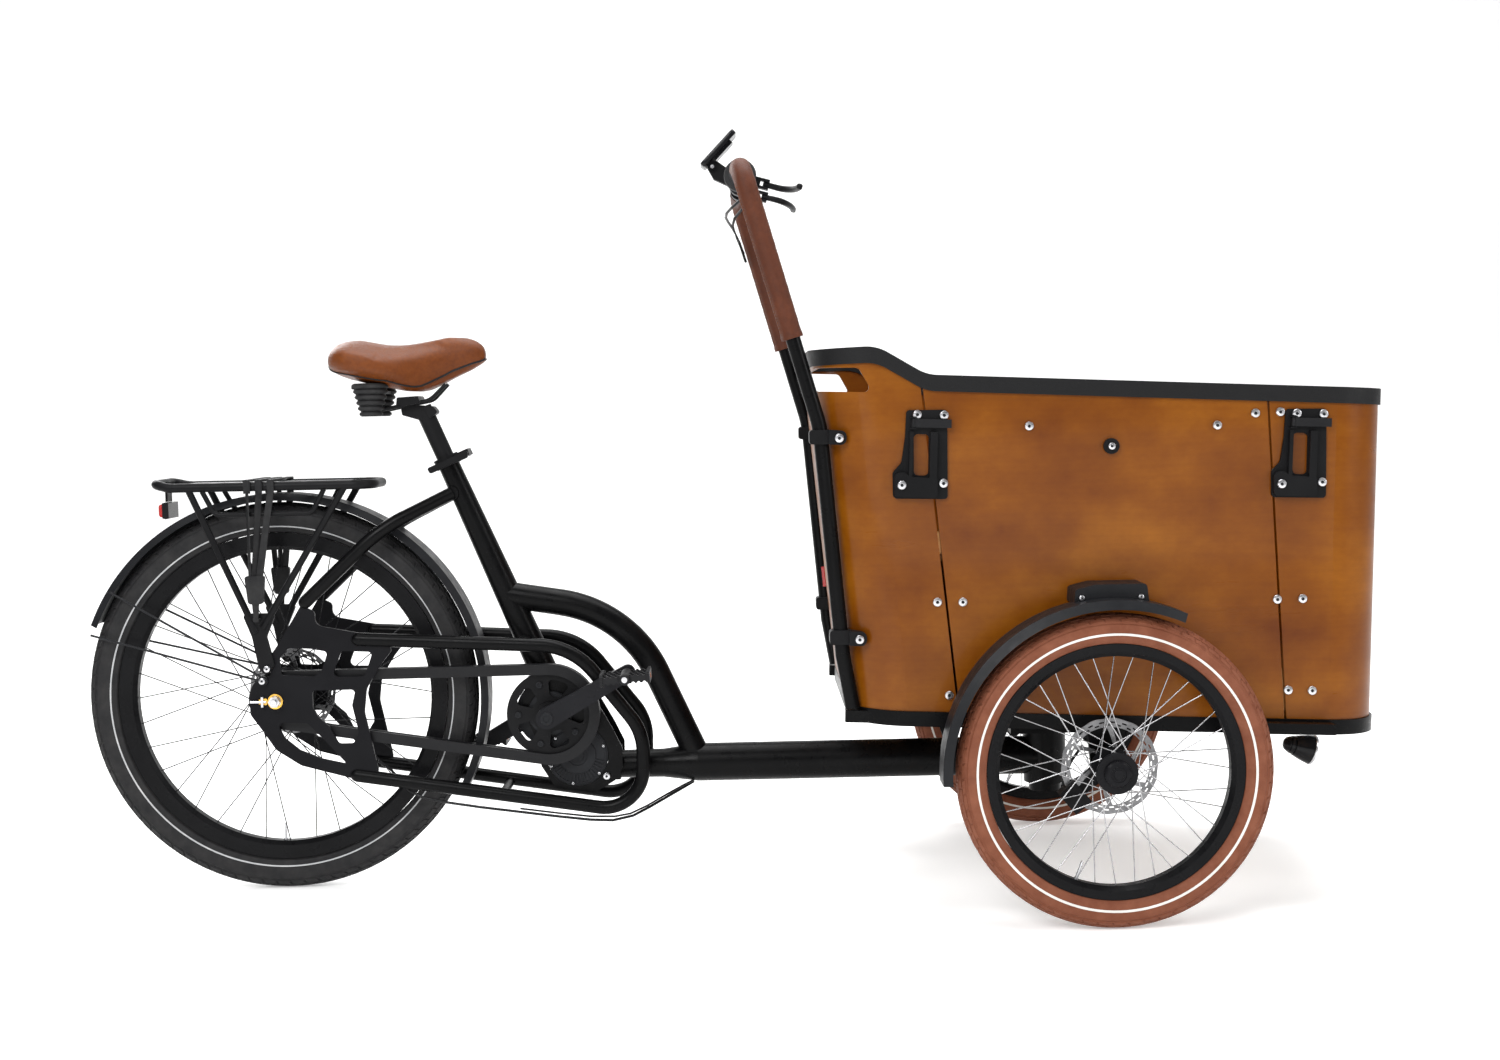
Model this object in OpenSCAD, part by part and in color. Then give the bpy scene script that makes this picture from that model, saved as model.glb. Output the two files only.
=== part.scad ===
// Three-wheeled cargo bicycle: a wooden box on two steered front wheels, pushed by a rear frame.
// X points forwards, Y to the rider's left and Z up. The ground is Z = 0.

/* [Wheels] */
// Radius of the rear tyre
rear_r = 353; // [350:1:355]
// Radius of the front tyres
front_r = 258; // [255:1:260]
// Distance from the rear axle to the front axles
wheelbase = 1435; // [1430:1:1445]
// Distance from the middle of the bicycle to each front wheel
track_half = 390; // [388:1:400]
// Number of spokes in a wheel
spoke_count = 36; // [24:12:36]

/* [Box] */
// Half of the width of the box over its panels
box_half_w = 310; // [300:1:312]
// Thickness of the plywood
ply = 12; // [9:1:15]
// Bend radius of the upright corners
corner_r = 95; // [80:1:110]
// Nose-down tilt of the box
box_tilt = 2.4; // [2:0.1:3]
// Gap between neighbouring panels
panel_gap = 4; // [2:1:6]

/* [Frame] */
// Diameter of the curved main tube
main_d = 48; // [46:1:52]
// Diameter of the long bottom tube
bottom_d = 69; // [64:1:70]
// Diameter of the stay tubes
stay_d = 24; // [20:1:24]
// Distance from the middle to each dropout plate's middle
stay_y = 71; // [71:1:73]
// Diameter of the seatpost
post_d = 31.6; // [27.2:0.1:31.6]

/* [Drive] */
// Crank length between the axle and the pedal
crank_l = 165; // [155:5:170]
// Angle of the right crank above level
crank_angle = 28.5; // [20:0.5:35]

/* [Handlebar] */
// Diameter of the handlebar tube
bar_d = 25; // [22:1:26]
// Diameter over the leather sleeves
sleeve_d = 36; // [32:1:38]
// Distance from the middle to each upright of the handlebar
bar_y = 274; // [268:1:276]

/* [Hidden] */
$fn = 64;

// Running clearance all round a shaft in its hole
fit = 0.05;
// Gap left between pieces that pass each other
gap = 0.6;

// Overall length, which puts the origin under the middle
front_overhang = 487.64;
total_l = rear_r + wheelbase + front_overhang;
rear_x = rear_r - total_l / 2;
front_x = wheelbase;

// Rear wheel: 584 mm bead seat with a wide tyre
rear_section = 30;
rear_rim_r = 298;
rear_rim_in = 267;
rear_flange_y = 31;
rear_flange_r = 48;
axle_d = 12;

// Front wheels: 406 mm bead seat
front_section = 27.5;
front_rim_r = 209;
front_rim_in = 188;
front_flange_y = 24;
front_flange_r = 34;
stub_d = 20;
rotor_r = 80;
rotor_t = 2;
rim_half_w = 17;
spoke_d = 2;

// Seat tube, from the motor up to the clamp
seat_top = [309, 0, 772];
seat_foot = [474, 0, 382];
seat_top_d = 38;
seat_foot_d = 52;
seat_axis = (seat_top - seat_foot) / norm(seat_top - seat_foot);
post_l = 310;
post_top = seat_top + 108 * seat_axis;

// Steering pivot
pivot_x = front_x - 50;
pivot_d = 40;
head_d = 76;
head_low = 165;
head_high = 262;
bottom_z = 213;

// Drive
crank_x = 486;
crank_z = 316;
chain_y = -51;
chain_big_r = 81.5;
chain_small_r = 42;
plate_t = 6;
arm_y = 99;
arm_t = 14;
motor_c = [533, 237];
motor_r = 55;

// Box, in its own tilted frame: the origin is over the pivot, at the foot of the base frame
box_z = 313;
band_h = 25;
rear_lean = 7.6;
front_lean = 0.8;
rear_wall_x = -368;
front_wall_x = 518;
rear_wall_l = 175;
front_wall_l = 230;
rim_h = 27;
rim_over = 4;
// Lines of the two upright panel gaps, foot and top
gap_a = [[-193, 25], [-272, 580]];
gap_b = [[351, 25], [299, 580]];
// Upper edge of the rim seen from the side
rim_line = [[-520, 616], [-345, 628], [-262, 583], [560, 576]];
rim_bend = 70;

// Handlebar
bar_low = [1019, 0, 352];
bar_knee = [1004, 0, 440];
bar_bend = [972, 0, 825];
bar_top = [849, 0, 1258];
bar_corner_r = 42;

// ---------- geometry helpers ----------

function unit(v) = v / norm(v);
function turn(a) = a > 180 ? a - 360 : a < -180 ? a + 360 : a;

// Points of a rounded corner at b, with the outline running from a to c
function corner(a, b, c, r, n = 8) =
    r == 0 ? [b] :
    let (u = unit(a - b), v = unit(c - b), half = acos(u * v) / 2)
    let (centre = b + unit(u + v) * r / sin(half))
    let (p = b + u * r / tan(half) - centre, q = b + v * r / tan(half) - centre)
    let (start = atan2(p[1], p[0]), sweep = turn(atan2(q[1], q[0]) - start))
    [for (i = [0 : n]) centre + r * [cos(start + sweep * i / n), sin(start + sweep * i / n)]];

// Closed outline with its own radius at each corner: [[x, y, r], ...]
function rounded(pts) =
    let (n = len(pts), xy = [for (p = pts) [p[0], p[1]]])
    [for (i = [0 : n - 1]) each corner(xy[(i + n - 1) % n], xy[i], xy[(i + 1) % n], pts[i][2])];

// Open line with one bend radius at its inner points
function bent_line(pts, r) =
    let (n = len(pts))
    [for (i = [0 : n - 1])
        each (i == 0 || i == n - 1 ? [pts[i]] : corner(pts[i - 1], pts[i], pts[i + 1], r))];

// Outline of a belt round two circles in the X-Z plane
function belt(c1, r1, c2, r2, n = 24) =
    let (d = c2 - c1, base = atan2(d[1], d[0]), wrap = acos((r1 - r2) / norm(d)))
    concat(
        [for (i = [0 : n]) let (a = base + wrap + i * (360 - 2 * wrap) / n) c1 + r1 * [cos(a), sin(a)]],
        [for (i = [0 : n]) let (a = base - wrap + i * 2 * wrap / n) c2 + r2 * [cos(a), sin(a)]]);

// Turns the Z axis onto the direction v
module along(v) {
    rotate([0, acos(v[2] / norm(v)), atan2(v[1], v[0])])
        children();
}

// Straight round bar
module rod(a, b, d) {
    translate(a)
        along(b - a)
            cylinder(h = norm(b - a), d = d);
}

// Round tube along straight runs joined by bends of the given radii.
// The bends are a touch thicker, and each run reaches a little way into them.
module bent_tube(pts, bends, d, swell = 0.4) {
    n = len(pts);
    lap = 1.5;
    dirs = [for (i = [0 : n - 2]) unit(pts[i + 1] - pts[i])];
    turns = [for (i = [1 : n - 2]) acos(dirs[i - 1] * dirs[i])];
    cuts = [-lap, for (i = [0 : n - 3]) bends[i] * tan(turns[i] / 2) - lap, -lap];
    for (i = [0 : n - 2])
        rod(pts[i] + dirs[i] * (i == 0 ? 0 : cuts[i]), pts[i + 1] - dirs[i] * (i == n - 2 ? 0 : cuts[i + 1]), d);
    for (i = [1 : n - 2]) {
        inward = unit(dirs[i] - dirs[i - 1] * (dirs[i - 1] * dirs[i]));
        side = cross(-inward, dirs[i - 1]);
        centre = pts[i] - dirs[i - 1] * (cuts[i] + lap) + inward * bends[i - 1];
        multmatrix([
            [-inward[0], dirs[i - 1][0], side[0], centre[0]],
            [-inward[1], dirs[i - 1][1], side[1], centre[1]],
            [-inward[2], dirs[i - 1][2], side[2], centre[2]],
            [0, 0, 0, 1]])
            rotate_extrude(angle = turns[i - 1])
                translate([bends[i - 1], 0])
                    circle(d = d + swell);
    }
}

// Thin flexible line: rings of points swept along a route
module cord(route, d, sides = 8) {
    n = len(route);
    ring = [for (i = [0 : n - 1])
        let (t = unit(route[min(i + 1, n - 1)] - route[max(i - 1, 0)]))
        let (s = unit(cross(t, abs(t[1]) < 0.9 ? [0, 1, 0] : [1, 0, 0])), w = cross(s, t))
        for (k = [0 : sides - 1])
            route[i] + d / 2 * (cos(360 * k / sides) * s + sin(360 * k / sides) * w)];
    wall = [for (i = [0 : n - 2], k = [0 : sides - 1])
        let (a = i * sides + k, b = i * sides + (k + 1) % sides)
        [a, b, b + sides, a + sides]];
    head = [for (k = [sides - 1 : -1 : 0]) k];
    tail = [for (k = [0 : sides - 1]) (n - 1) * sides + k];
    polyhedron(points = ring, faces = concat([head], wall, [tail]));
}

// Plate drawn in the X-Z plane, from y0 to y1
module upright(y0, y1) {
    translate([0, max(y0, y1), 0])
        rotate([90, 0, 0])
            linear_extrude(abs(y1 - y0))
                children();
}

// Round piece with its axis along Y
module turned(x, z, y0, y1, d) {
    translate([x, min(y0, y1), z])
        rotate([-90, 0, 0])
            cylinder(h = abs(y1 - y0), d = d);
}

// Puts the rear axle where the origin calls for it
module bike() {
    translate([rear_x, 0, 0])
        children();
}

// The tilted frame of the box
module box_frame() {
    translate([rear_x + pivot_x, 0, box_z])
        rotate([0, box_tilt, 0])
            children();
}

module both_sides() {
    children();
    mirror([0, 1, 0])
        children();
}

// ---------- rear frame ----------

module seat_tube_blank() {
    translate(seat_foot)
        along(seat_axis)
            cylinder(h = norm(seat_top - seat_foot), d1 = seat_foot_d, d2 = seat_top_d);
}

module seat_tube() color("#1b1b1d") bike() {
    difference() {
        seat_tube_blank();
        rod(seat_foot - 20 * seat_axis, seat_top + 20 * seat_axis, post_d + 2 * fit);
    }
}

main_path = [[400, 0, 530], [628, 0, 492], [754, 0, bottom_z]];
thick_x = 750;

// Point on the seat tube's middle line at height z, or b behind it
function behind_seat(z, b) = let (t = (z - seat_foot[2]) / seat_axis[2])
    [seat_foot[0] + t * seat_axis[0] - b, z];

bracket = [[467, 219, 6], [492, 178, 12], [563, 168, 12], [600, 190, 12], [614, 212, 4], [614, 250, 4],
    [598, 284, 14], [566, 342, 14], [512, 384, 6], [446, 384, 6], [436, 330, 14], [460, 262, 10]];

module main_frame() color("#1b1b1d") bike() {
    wall = 4;
    difference() {
        union() {
            bent_tube(main_path, [230], main_d);
            translate([604, 0, bottom_z])
                rotate([0, 90, 0])
                    rotate_extrude()
                        polygon([[0, 0], [25, 0], [26, 84], [bottom_d / 2, thick_x - 604],
                            [bottom_d / 2, pivot_x - 604], [0, pivot_x - 604]]);
            translate([pivot_x, 0, head_low])
                cylinder(h = head_high - head_low, d = head_d);
            both_sides()
                upright(34, 38)
                    polygon(rounded(bracket));
            translate([600, -38, bottom_z - 22])
                cube([10, 76, 54]);
            translate([462, -38, 374])
                cube([52, 76, 8]);
        }
        bent_tube(main_path, [230], main_d - 2 * wall, -0.4);
        rod([thick_x, 0, bottom_z], [pivot_x - head_d / 2 - 6, 0, bottom_z], bottom_d - 2 * wall);
        translate([pivot_x, 0, head_low - 1])
            cylinder(h = head_high - head_low + 2, d = pivot_d + 2 * fit);
        seat_tube_blank();
        upright(-main_d, main_d)
            polygon([behind_seat(640, 0), behind_seat(440, 0), behind_seat(440, 160), behind_seat(640, 160)]);
        turned(motor_c[0], motor_c[1], -50, 50, 2 * motor_r + 2);
        turned(crank_x, crank_z, -50, 50, 82);
    }
}

loop_path = [[150, 0, 461], [532, 0, 440], [654, 0, 283], [652, 0, 136], [140, 0, 216]];
seat_stay_path = [[318, 20, 716], [196, 62, 657], [58, stay_y, 529]];

module rear_stays() color("#1b1b1d") bike() {
    difference() {
        union() {
            both_sides() {
                translate([0, stay_y, 0])
                    bent_tube(loop_path, [130, 100, 70], stay_d);
                bent_tube(seat_stay_path, [240], stay_d);
                for (end = [seat_stay_path[2], [loop_path[0][0], stay_y, loop_path[0][2]],
                    [loop_path[4][0], stay_y, loop_path[4][2]]])
                    translate(end)
                        sphere(d = stay_d - 1);
            }
            rod([442, -stay_y, 448], [442, stay_y, 448], 20);
            rod([653, -stay_y, bottom_z], [653, stay_y, bottom_z], 18);
            rod([217, -56, 667], [217, 56, 667], 14);
            rod([398, -stay_y, 172], [398, stay_y, 172], 16);
            rod([318, -24, 716], [318, 24, 716], stay_d);
        }
        seat_tube_blank();
        rod([604, 0, bottom_z], [690, 0, bottom_z], 53);
        both_sides()
            upright(stay_y - plate_t / 2, stay_y + plate_t / 2)
                polygon(rounded(plate_outline));
    }
}

plate_outline = [[-46, 358, 14], [-38, 386, 10], [-7, 400, 6], [-6, 436, 20], [11, 459, 4],
    [51, 524, 3], [76, 512, 10], [74, 488, 16], [206, 462, 8], [209, 439, 6], [187, 411, 20],
    [163, 372, 30], [158, 330, 30], [180, 222, 6], [150, 206, 6], [42, 236, 30], [-2, 265, 30],
    [-24, 299, 20], [-46, 330, 16]];
window_top = [[12, 400, 4], [9, 430, 12], [26, 448, 6], [66, 446, 6], [96, 440, 6], [84, 406, 10],
    [70, 396, 8]];
window_front = [[120, 441, 6], [176, 438, 6], [160, 394, 10], [102, 395, 8]];
window_mid = [[66, 371, 6], [143, 371, 6], [136, 343, 10], [147, 292, 14], [136, 274, 8], [110, 274, 8],
    [94, 306, 8], [76, 322, 6], [66, 340, 6]];
window_low = [[4, 306, 4], [9, 314, 4], [55, 313, 6], [74, 293, 10], [124, 237, 2], [78, 248, 20],
    [40, 264, 20], [14, 286, 10]];

module dropout_plates() color("#222224") bike() {
    both_sides()
        upright(stay_y - plate_t / 2, stay_y + plate_t / 2)
            difference() {
                polygon(rounded(plate_outline));
                polygon(rounded(window_top));
                polygon(rounded(window_front));
                polygon(rounded(window_mid));
                polygon(rounded(window_low));
                translate([0, rear_r])
                    circle(d = axle_d + 1);
            }
}

module motor() color("#242528") bike() {
    difference() {
        union() {
            turned(motor_c[0], motor_c[1], -39, 39, 2 * motor_r);
            turned(crank_x, crank_z, -34, 34, 124);
            turned(crank_x, crank_z, -43, 43, 80);
            upright(-34, 34)
                polygon([[470, 250], [560, 200], [590, 250], [540, 340]]);
        }
        turned(crank_x, crank_z, -60, 60, 20 + 2 * fit);
        translate([462, -40, 370])
            cube([60, 80, 20]);
    }
    both_sides()
        for (i = [-3 : 3])
            upright(39, 41)
                translate([motor_c[0] + 8 * i - 1.5, motor_c[1] - 20 - sqrt(30 * 30 - 64 * i * i)])
                    square([3, 24]);
}

function crank_c() = [crank_x, crank_z];
function axle_c() = [0, rear_r];

module belt_ring(grow, low_y, high_y) {
    upright(low_y, high_y)
        difference() {
            polygon(belt(crank_c(), chain_big_r + grow, axle_c(), chain_small_r + grow));
            polygon(belt(crank_c(), chain_big_r - grow, axle_c(), chain_small_r - grow));
        }
}

module chain_case() color("#2b2b2d") bike() {
    difference() {
        belt_ring(9.5, chain_y - 9.5, chain_y + 9.5);
        belt_ring(6, chain_y - 7, chain_y + 7);
        upright(chain_y - 3.5, chain_y + 3.5)
            polygon(belt(crank_c(), chain_big_r - 5, axle_c(), chain_small_r - 5));
    }
}

module chain() color("#77787a") bike() {
    belt_ring(3.5, chain_y - 4, chain_y + 4);
}

guard_in = 367;
guard_out = 370;

module rear_mudguard() color("#202022") bike() {
    translate([4, 0, rear_r])
        rotate([90, 0, 0])
            rotate([0, 0, -29])
                rotate_extrude(angle = 187)
                    polygon([[guard_in - 10, -36], [guard_in - 10, -34], [guard_in, -28], [guard_in, 28],
                        [guard_in - 10, 34], [guard_in - 10, 36], [guard_out, 29], [guard_out, -29]]);
    both_sides() {
        rod([-300, 34, 551], [-22, 77, 397], 4);
        rod([-338, 34, 474], [-27, 77, 391], 4);
        turned(-20, 391, stay_y + 3, 79.2, 17);
    }
}

rack_w = 64;
rack_z = 737;
strip_w = 44;

rack_ring = [[-30, -rack_w, rack_z], [-178, -rack_w, rack_z], [-206, -rack_w + 8, rack_z + 7],
    [-206, rack_w - 8, rack_z + 7], [-178, rack_w, rack_z], [-30, rack_w, rack_z]];
rack_nose = [[-40, -rack_w, rack_z], [182, -rack_w, rack_z], [182, rack_w, rack_z], [-40, rack_w, rack_z]];
side_hoop = [[-118, rack_w + 3, 730], [-96, rack_w + 6, 688], [76, rack_w + 6, 688], [98, rack_w + 3, 730]];

module rack() color("#262628") bike() {
    bent_tube(rack_ring, [30, 20, 20, 30], 16);
    bent_tube(rack_nose, [34, 34], 16.6);
    both_sides() {
        rod([-145, rack_w, rack_z], [-28, 79, 478], 12);
        rod([136, rack_w, rack_z], [-16, 79, 486], 12);
        bent_tube(side_hoop, [16, 16], 9);
        upright(stay_y + plate_t / 2, 81)
            polygon(rounded([[-52, 512, 6], [8, 512, 6], [-10, 470, 10], [2, 420, 8], [-12, 398, 8],
                [-26, 414, 8], [-36, 470, 10]]));
    }
    for (x = [-150, -90, 60, 130])
        rod([x, -rack_w, rack_z], [x, rack_w, rack_z], 10);
    translate([-154, -strip_w / 2, rack_z + 3.5])
        cube([288, strip_w, 3]);
    translate([-200, -14, rack_z - 26])
        cube([4, 28, 36]);
}

strap_x = [-37, -16, 5];

module luggage_straps() color("#101011") bike() {
    top_z = rack_z + 10;
    for (i = [0 : 2]) {
        x = strap_x[i];
        low = -24 + 8 * (i - 1);
        translate([x - 6, -rack_w - 11, top_z])
            cube([12, 2 * rack_w + 22, 2.5]);
        both_sides() {
            translate([x - 6, rack_w + 9, top_z - 22])
                cube([12, 2.5, 24]);
            flat_run([x, rack_w + 10, top_z - 20], [low, 93, 572]);
        }
    }
    both_sides() {
        upright(88, 98)
            polygon(rounded([[-41, 580, 4], [-6, 580, 4], [-10, 530, 6], [-36, 530, 6]]));
        upright(91, 95)
            polygon([[-30, 532], [-18, 532], [-20, 500], [-28, 500]]);
        upright(81.5, 95)
            polygon([[-30, 504], [-18, 504], [-20, 498], [-28, 498]]);
    }
}

// Elastic strap run: 12 mm wide along X, thin across Y
module flat_run(a, b) {
    translate(a)
        along(b - a)
            rotate([0, 0, 90 - atan2(b[1] - a[1], b[0] - a[0])])
                translate([-6, -1.25, 0])
                    cube([12, 2.5, norm(b - a)]);
}

module tail_light() color("#a01818") bike() {
    translate([-209, -30, 680])
        cube([19, 60, 31]);
}

module rear_caliper() color("#303032") bike() {
    angle = 25;
    difference() {
        translate([rotor_r * cos(angle), 0, rear_r + rotor_r * sin(angle)])
            rotate([0, 90 - angle, 0])
                translate([-22, 49.5, -18])
                    cube([44, stay_y - 3 - 49.5, 32]);
        turned(0, rear_r, 54.4, 57.6, 2 * rotor_r + 4);
    }
}

module axle_hardware() color("#c9c9cc") bike() {
    turned(0, rear_r, -96, 96, axle_d);
    both_sides() {
        turned(0, rear_r, stay_y + 3, stay_y + 5, 26);
        translate([0, stay_y + 5, rear_r])
            rotate([-90, 0, 0])
                difference() {
                    cylinder(h = 11, d = 21, $fn = 6);
                    translate([0, 0, -1])
                        cylinder(h = 13, d = axle_d);
                }
        translate([-24, stay_y + 3, rear_r - 9])
            cube([4, 9, 18]);
        rod([-44, stay_y + 8, rear_r], [-15, stay_y + 8, rear_r], 5);
        turned(-10, 413, 81, 85, 11);
        turned(-20, 391, 79.2, 83, 11);
        turned(585, 199, 38, 42, 12);
    }
}

// Two lines clipped under the right-hand stay loop
cable_y = -stay_y;
rear_brake_route = [[742, -12, 180], [726, -18, 172], [696, -32, 158], [664, -48, 143], [632, -64, 130],
    [596, cable_y, 124], [556, cable_y, 126], [500, cable_y, 133], [430, cable_y, 143],
    [360, cable_y, 153], [300, cable_y, 163], [256, cable_y, 173], [232, -62, 184], [214, -54, 203],
    [196, -56, 224], [178, -65.4, 240]];
gear_route = [[742, -20, 184], [722, -28, 176], [690, -44, 162], [658, -60, 147], [628, -68, 135],
    [600, -66, 130], [556, -66, 131], [500, -66, 138], [430, -66, 148]];

module frame_cables() color("#0c0c0d") bike() {
    cord(rear_brake_route, 5);
    cord(gear_route, 3.6);
}

// The lever turns on a pin across the lug in front of the collar
lug_reach = 38;
lever_c = seat_top + seat_axis - lug_reach * [-seat_axis[2], 0, seat_axis[0]];
pin_d = 6;

module seat_clamp() color("#161617") bike() {
    difference() {
        union() {
            rod(seat_top - 8 * seat_axis, seat_top + 10 * seat_axis, seat_top_d + 8);
            translate(seat_top + seat_axis)
                along(seat_axis)
                    translate([-lug_reach - 7, -22, -6])
                        cube([26, 44, 12]);
        }
        seat_tube_blank();
        rod(seat_top - 30 * seat_axis, seat_top + 20 * seat_axis, post_d + 1.2);
        turned(lever_c[0], lever_c[2], -30, 30, pin_d + 2 * fit);
    }
}

module seat_lever() color("#161617") bike() {
    turned(lever_c[0], lever_c[2], -31, 27, pin_d);
    turned(lever_c[0], lever_c[2], 22.6, 27, 13);
    upright(-31, -25)
        polygon(rounded([[lever_c[0] + 7, lever_c[2] + 6, 4], [lever_c[0] + 6, lever_c[2] - 8, 4],
            [lever_c[0] - 62, lever_c[2] - 36, 4], [lever_c[0] - 68, lever_c[2] - 26, 4]]));
}

// ---------- seatpost and saddle ----------

saddle_low = 903;

module seatpost() color("#2a2a2c") bike() {
    rod(post_top - post_l * seat_axis, post_top, post_d);
    upright(-15, 15)
        polygon(rounded([[232, 858, 4], [230, 871, 3], [262, 875.5, 2], [288, 873, 5], [297, 862, 5], [272, 846, 4]]));
}

module saddle_frame() color("#17171a") bike() {
    both_sides() {
        bent_tube([[196, 40, 868], [240, 24, 876], [284, 20, 884], [312, 14, 912]], [30, 30], 7);
        for (i = [0 : 4])
            turned_up(182, 42, 858 + 10 * i, 10, 36 + 5.5 * i);
    }
    upright(-30, 30)
        polygon(rounded([[224, 873, 3], [226, 890, 3], [264, 892, 3], [268, 879, 3]]));
    upright(-52, 52)
        polygon([[150, 906], [206, 897], [206, 902], [150, 912]]);
}

module turned_up(x, y, z, h, d) {
    translate([x, y, z])
        cylinder(h = h, d = d);
}

// Stations of the pad: distance forwards, half-width, underside and top
pad_stations = [
    [106, 46, 946, 966], [112, 66, 938, 978], [124, 86, 931, 987], [146, 101, 926, 989],
    [178, 103, 919, 983], [210, 95, 912, 977], [240, 80, 905, 976], [268, 58, 902, 979],
    [300, 38, 914, 985], [330, 29, 929, 992], [360, 23, 942, 993], [378, 16, 949, 984],
    [385, 10, 954, 974]];
pad_sides = 20;

module saddle_pad() color("#a4582e") bike() {
    n = len(pad_stations);
    pts = [for (s = pad_stations, k = [0 : pad_sides - 1])
        let (a = 360 * k / pad_sides, mid = (s[2] + s[3]) / 2, half = (s[3] - s[2]) / 2)
        [s[0], s[1] * sign(cos(a)) * pow(abs(cos(a)), 0.75), mid + half * sign(sin(a)) * pow(abs(sin(a)), 0.8)]];
    wall = [for (i = [0 : n - 2], k = [0 : pad_sides - 1])
        let (a = i * pad_sides + k, b = i * pad_sides + (k + 1) % pad_sides)
        [a, a + pad_sides, b + pad_sides, b]];
    head = [for (k = [0 : pad_sides - 1]) k];
    tail = [for (k = [pad_sides - 1 : -1 : 0]) (n - 1) * pad_sides + k];
    polyhedron(points = pts, faces = concat([head], wall, [tail]));
}

// ---------- drive ----------

pedal_c = [crank_x + crank_l * cos(crank_angle), crank_z + crank_l * sin(crank_angle)];
left_pedal_c = 2 * crank_c() - pedal_c;

module crank_arms() color("#333436") bike() {
    turned(crank_x, crank_z, -arm_y - arm_t / 2, arm_y + arm_t / 2, 20);
    upright(-arm_y - arm_t / 2, -arm_y + arm_t / 2)
        difference() {
            polygon(belt(crank_c(), 19, pedal_c, 14));
            translate(pedal_c)
                circle(d = 14 + 2 * fit);
        }
    upright(arm_y - arm_t / 2, arm_y + arm_t / 2)
        difference() {
            polygon(belt(crank_c(), 19, left_pedal_c, 14));
            translate(left_pedal_c)
                circle(d = 14 + 2 * fit);
        }
}

module chainring() color("#3a3a3d") bike() {
    difference() {
        union() {
            turned(crank_x, crank_z, chain_y - 2, chain_y + 2, 154);
            turned(crank_x, crank_z, chain_y - 12, chain_y + 2, 46);
        }
        turned(crank_x, crank_z, chain_y - 20, chain_y + 20, 20);
        for (k = [0 : 4])
            translate([crank_x, 0, crank_z])
                rotate([0, -(72 + 72 * k), 0])
                    upright(chain_y - 5, chain_y + 5)
                        polygon(rounded([[32, -9, 5], [62, -22, 8], [62, 22, 8], [32, 9, 5]]));
    }
    for (k = [0 : 4])
        translate([crank_x, 0, crank_z])
            rotate([0, -(36 + 72 * k), 0])
                turned(56, 0, chain_y - 5, chain_y, 11);
}

module pedal(c, s) {
    near = arm_y + arm_t / 2 + 1;
    turned(c[0], c[1], s * (arm_y - arm_t / 2), s * (near + 88), 14);
    translate([c[0], 0, c[1]])
        rotate([0, -4, 0]) {
            upright(s * (near + 4), s * (near + 86))
                square([34, 22], center = true);
            for (x = [-44, 38])
                upright(s * (near + 8), s * (near + 82))
                    translate([x, -11])
                        square([6, 22]);
            for (y = [near + 10, near + 44, near + 74])
                upright(s * y, s * (y + 6))
                    square([84, 16], center = true);
        }
}

module pedal_right() color("#1c1c1e") bike() pedal(pedal_c, -1);

module pedal_left() color("#1c1c1e") bike() pedal(left_pedal_c, 1);

// ---------- wheels ----------

module tyre(r, section, bead) {
    rotate([-90, 0, 0])
        rotate_extrude($fn = 128)
            difference() {
                translate([r - section, 0])
                    circle(r = section);
                translate([0, -section - 1])
                    square([bead, 2 * section + 2]);
            }
}

module rim(bead, inner) {
    rotate([-90, 0, 0])
        rotate_extrude($fn = 128)
            polygon([[bead, -rim_half_w], [bead, rim_half_w], [inner + 7, rim_half_w - 1],
                [inner, rim_half_w - 9], [inner, 9 - rim_half_w], [inner + 7, 1 - rim_half_w]]);
}

module spokes(hub_r, flange_y, inner) {
    reach = 55;
    for (k = [0 : spoke_count - 1]) {
        side = k % 2 == 0 ? 1 : -1;
        lean = k % 4 < 2 ? reach : -reach;
        a = 360 * k / spoke_count;
        start = (hub_r + 1.2) * [cos(a + lean), 0, sin(a + lean)] + [0, side * flange_y, 0];
        finish = (inner - 0.4) * [cos(a), 0, sin(a)] + [0, side * 4, 0];
        rod(start, finish, spoke_d);
    }
}

module rotor(y) {
    difference() {
        union() {
            difference() {
                turned(0, 0, y - rotor_t / 2, y + rotor_t / 2, 2 * rotor_r);
                turned(0, 0, y - 5, y + 5, 130);
            }
            turned(0, 0, y - rotor_t / 2 - 0.4, y + rotor_t / 2 + 0.4, 49);
            for (k = [0 : 5])
                rotate([0, 60 * k, 0])
                    upright(y - rotor_t / 2 + 0.3, y + rotor_t / 2 - 0.3)
                        polygon([[16, -4], [68, 14], [66, 20], [14, 4]]);
        }
        turned(0, 0, y - 5, y + 5, 30);
    }
}

module at_rear_wheel() {
    bike()
        translate([0, 0, rear_r])
            children();
}

module at_front_wheel(s) {
    bike()
        translate([front_x, s * track_half, front_r])
            children();
}

module rear_tyre() color("#232324") at_rear_wheel() tyre(rear_r, rear_section, rear_rim_r);

module rear_rim() color("#111112") at_rear_wheel() rim(rear_rim_r, rear_rim_in);

module rear_spokes() color("#1a1a1a") at_rear_wheel() spokes(rear_flange_r, rear_flange_y, rear_rim_in);

module rear_hub() color("#2f3032") at_rear_wheel() {
    difference() {
        union() {
            turned(0, 0, -29, 29, 88);
            both_sides()
                turned(0, 0, 29, 33, 2 * rear_flange_r);
            turned(0, 0, 33, 56, 44);
            rotor(56);
        }
        turned(0, 0, -70, 70, axle_d + 2 * fit);
    }
}

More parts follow.
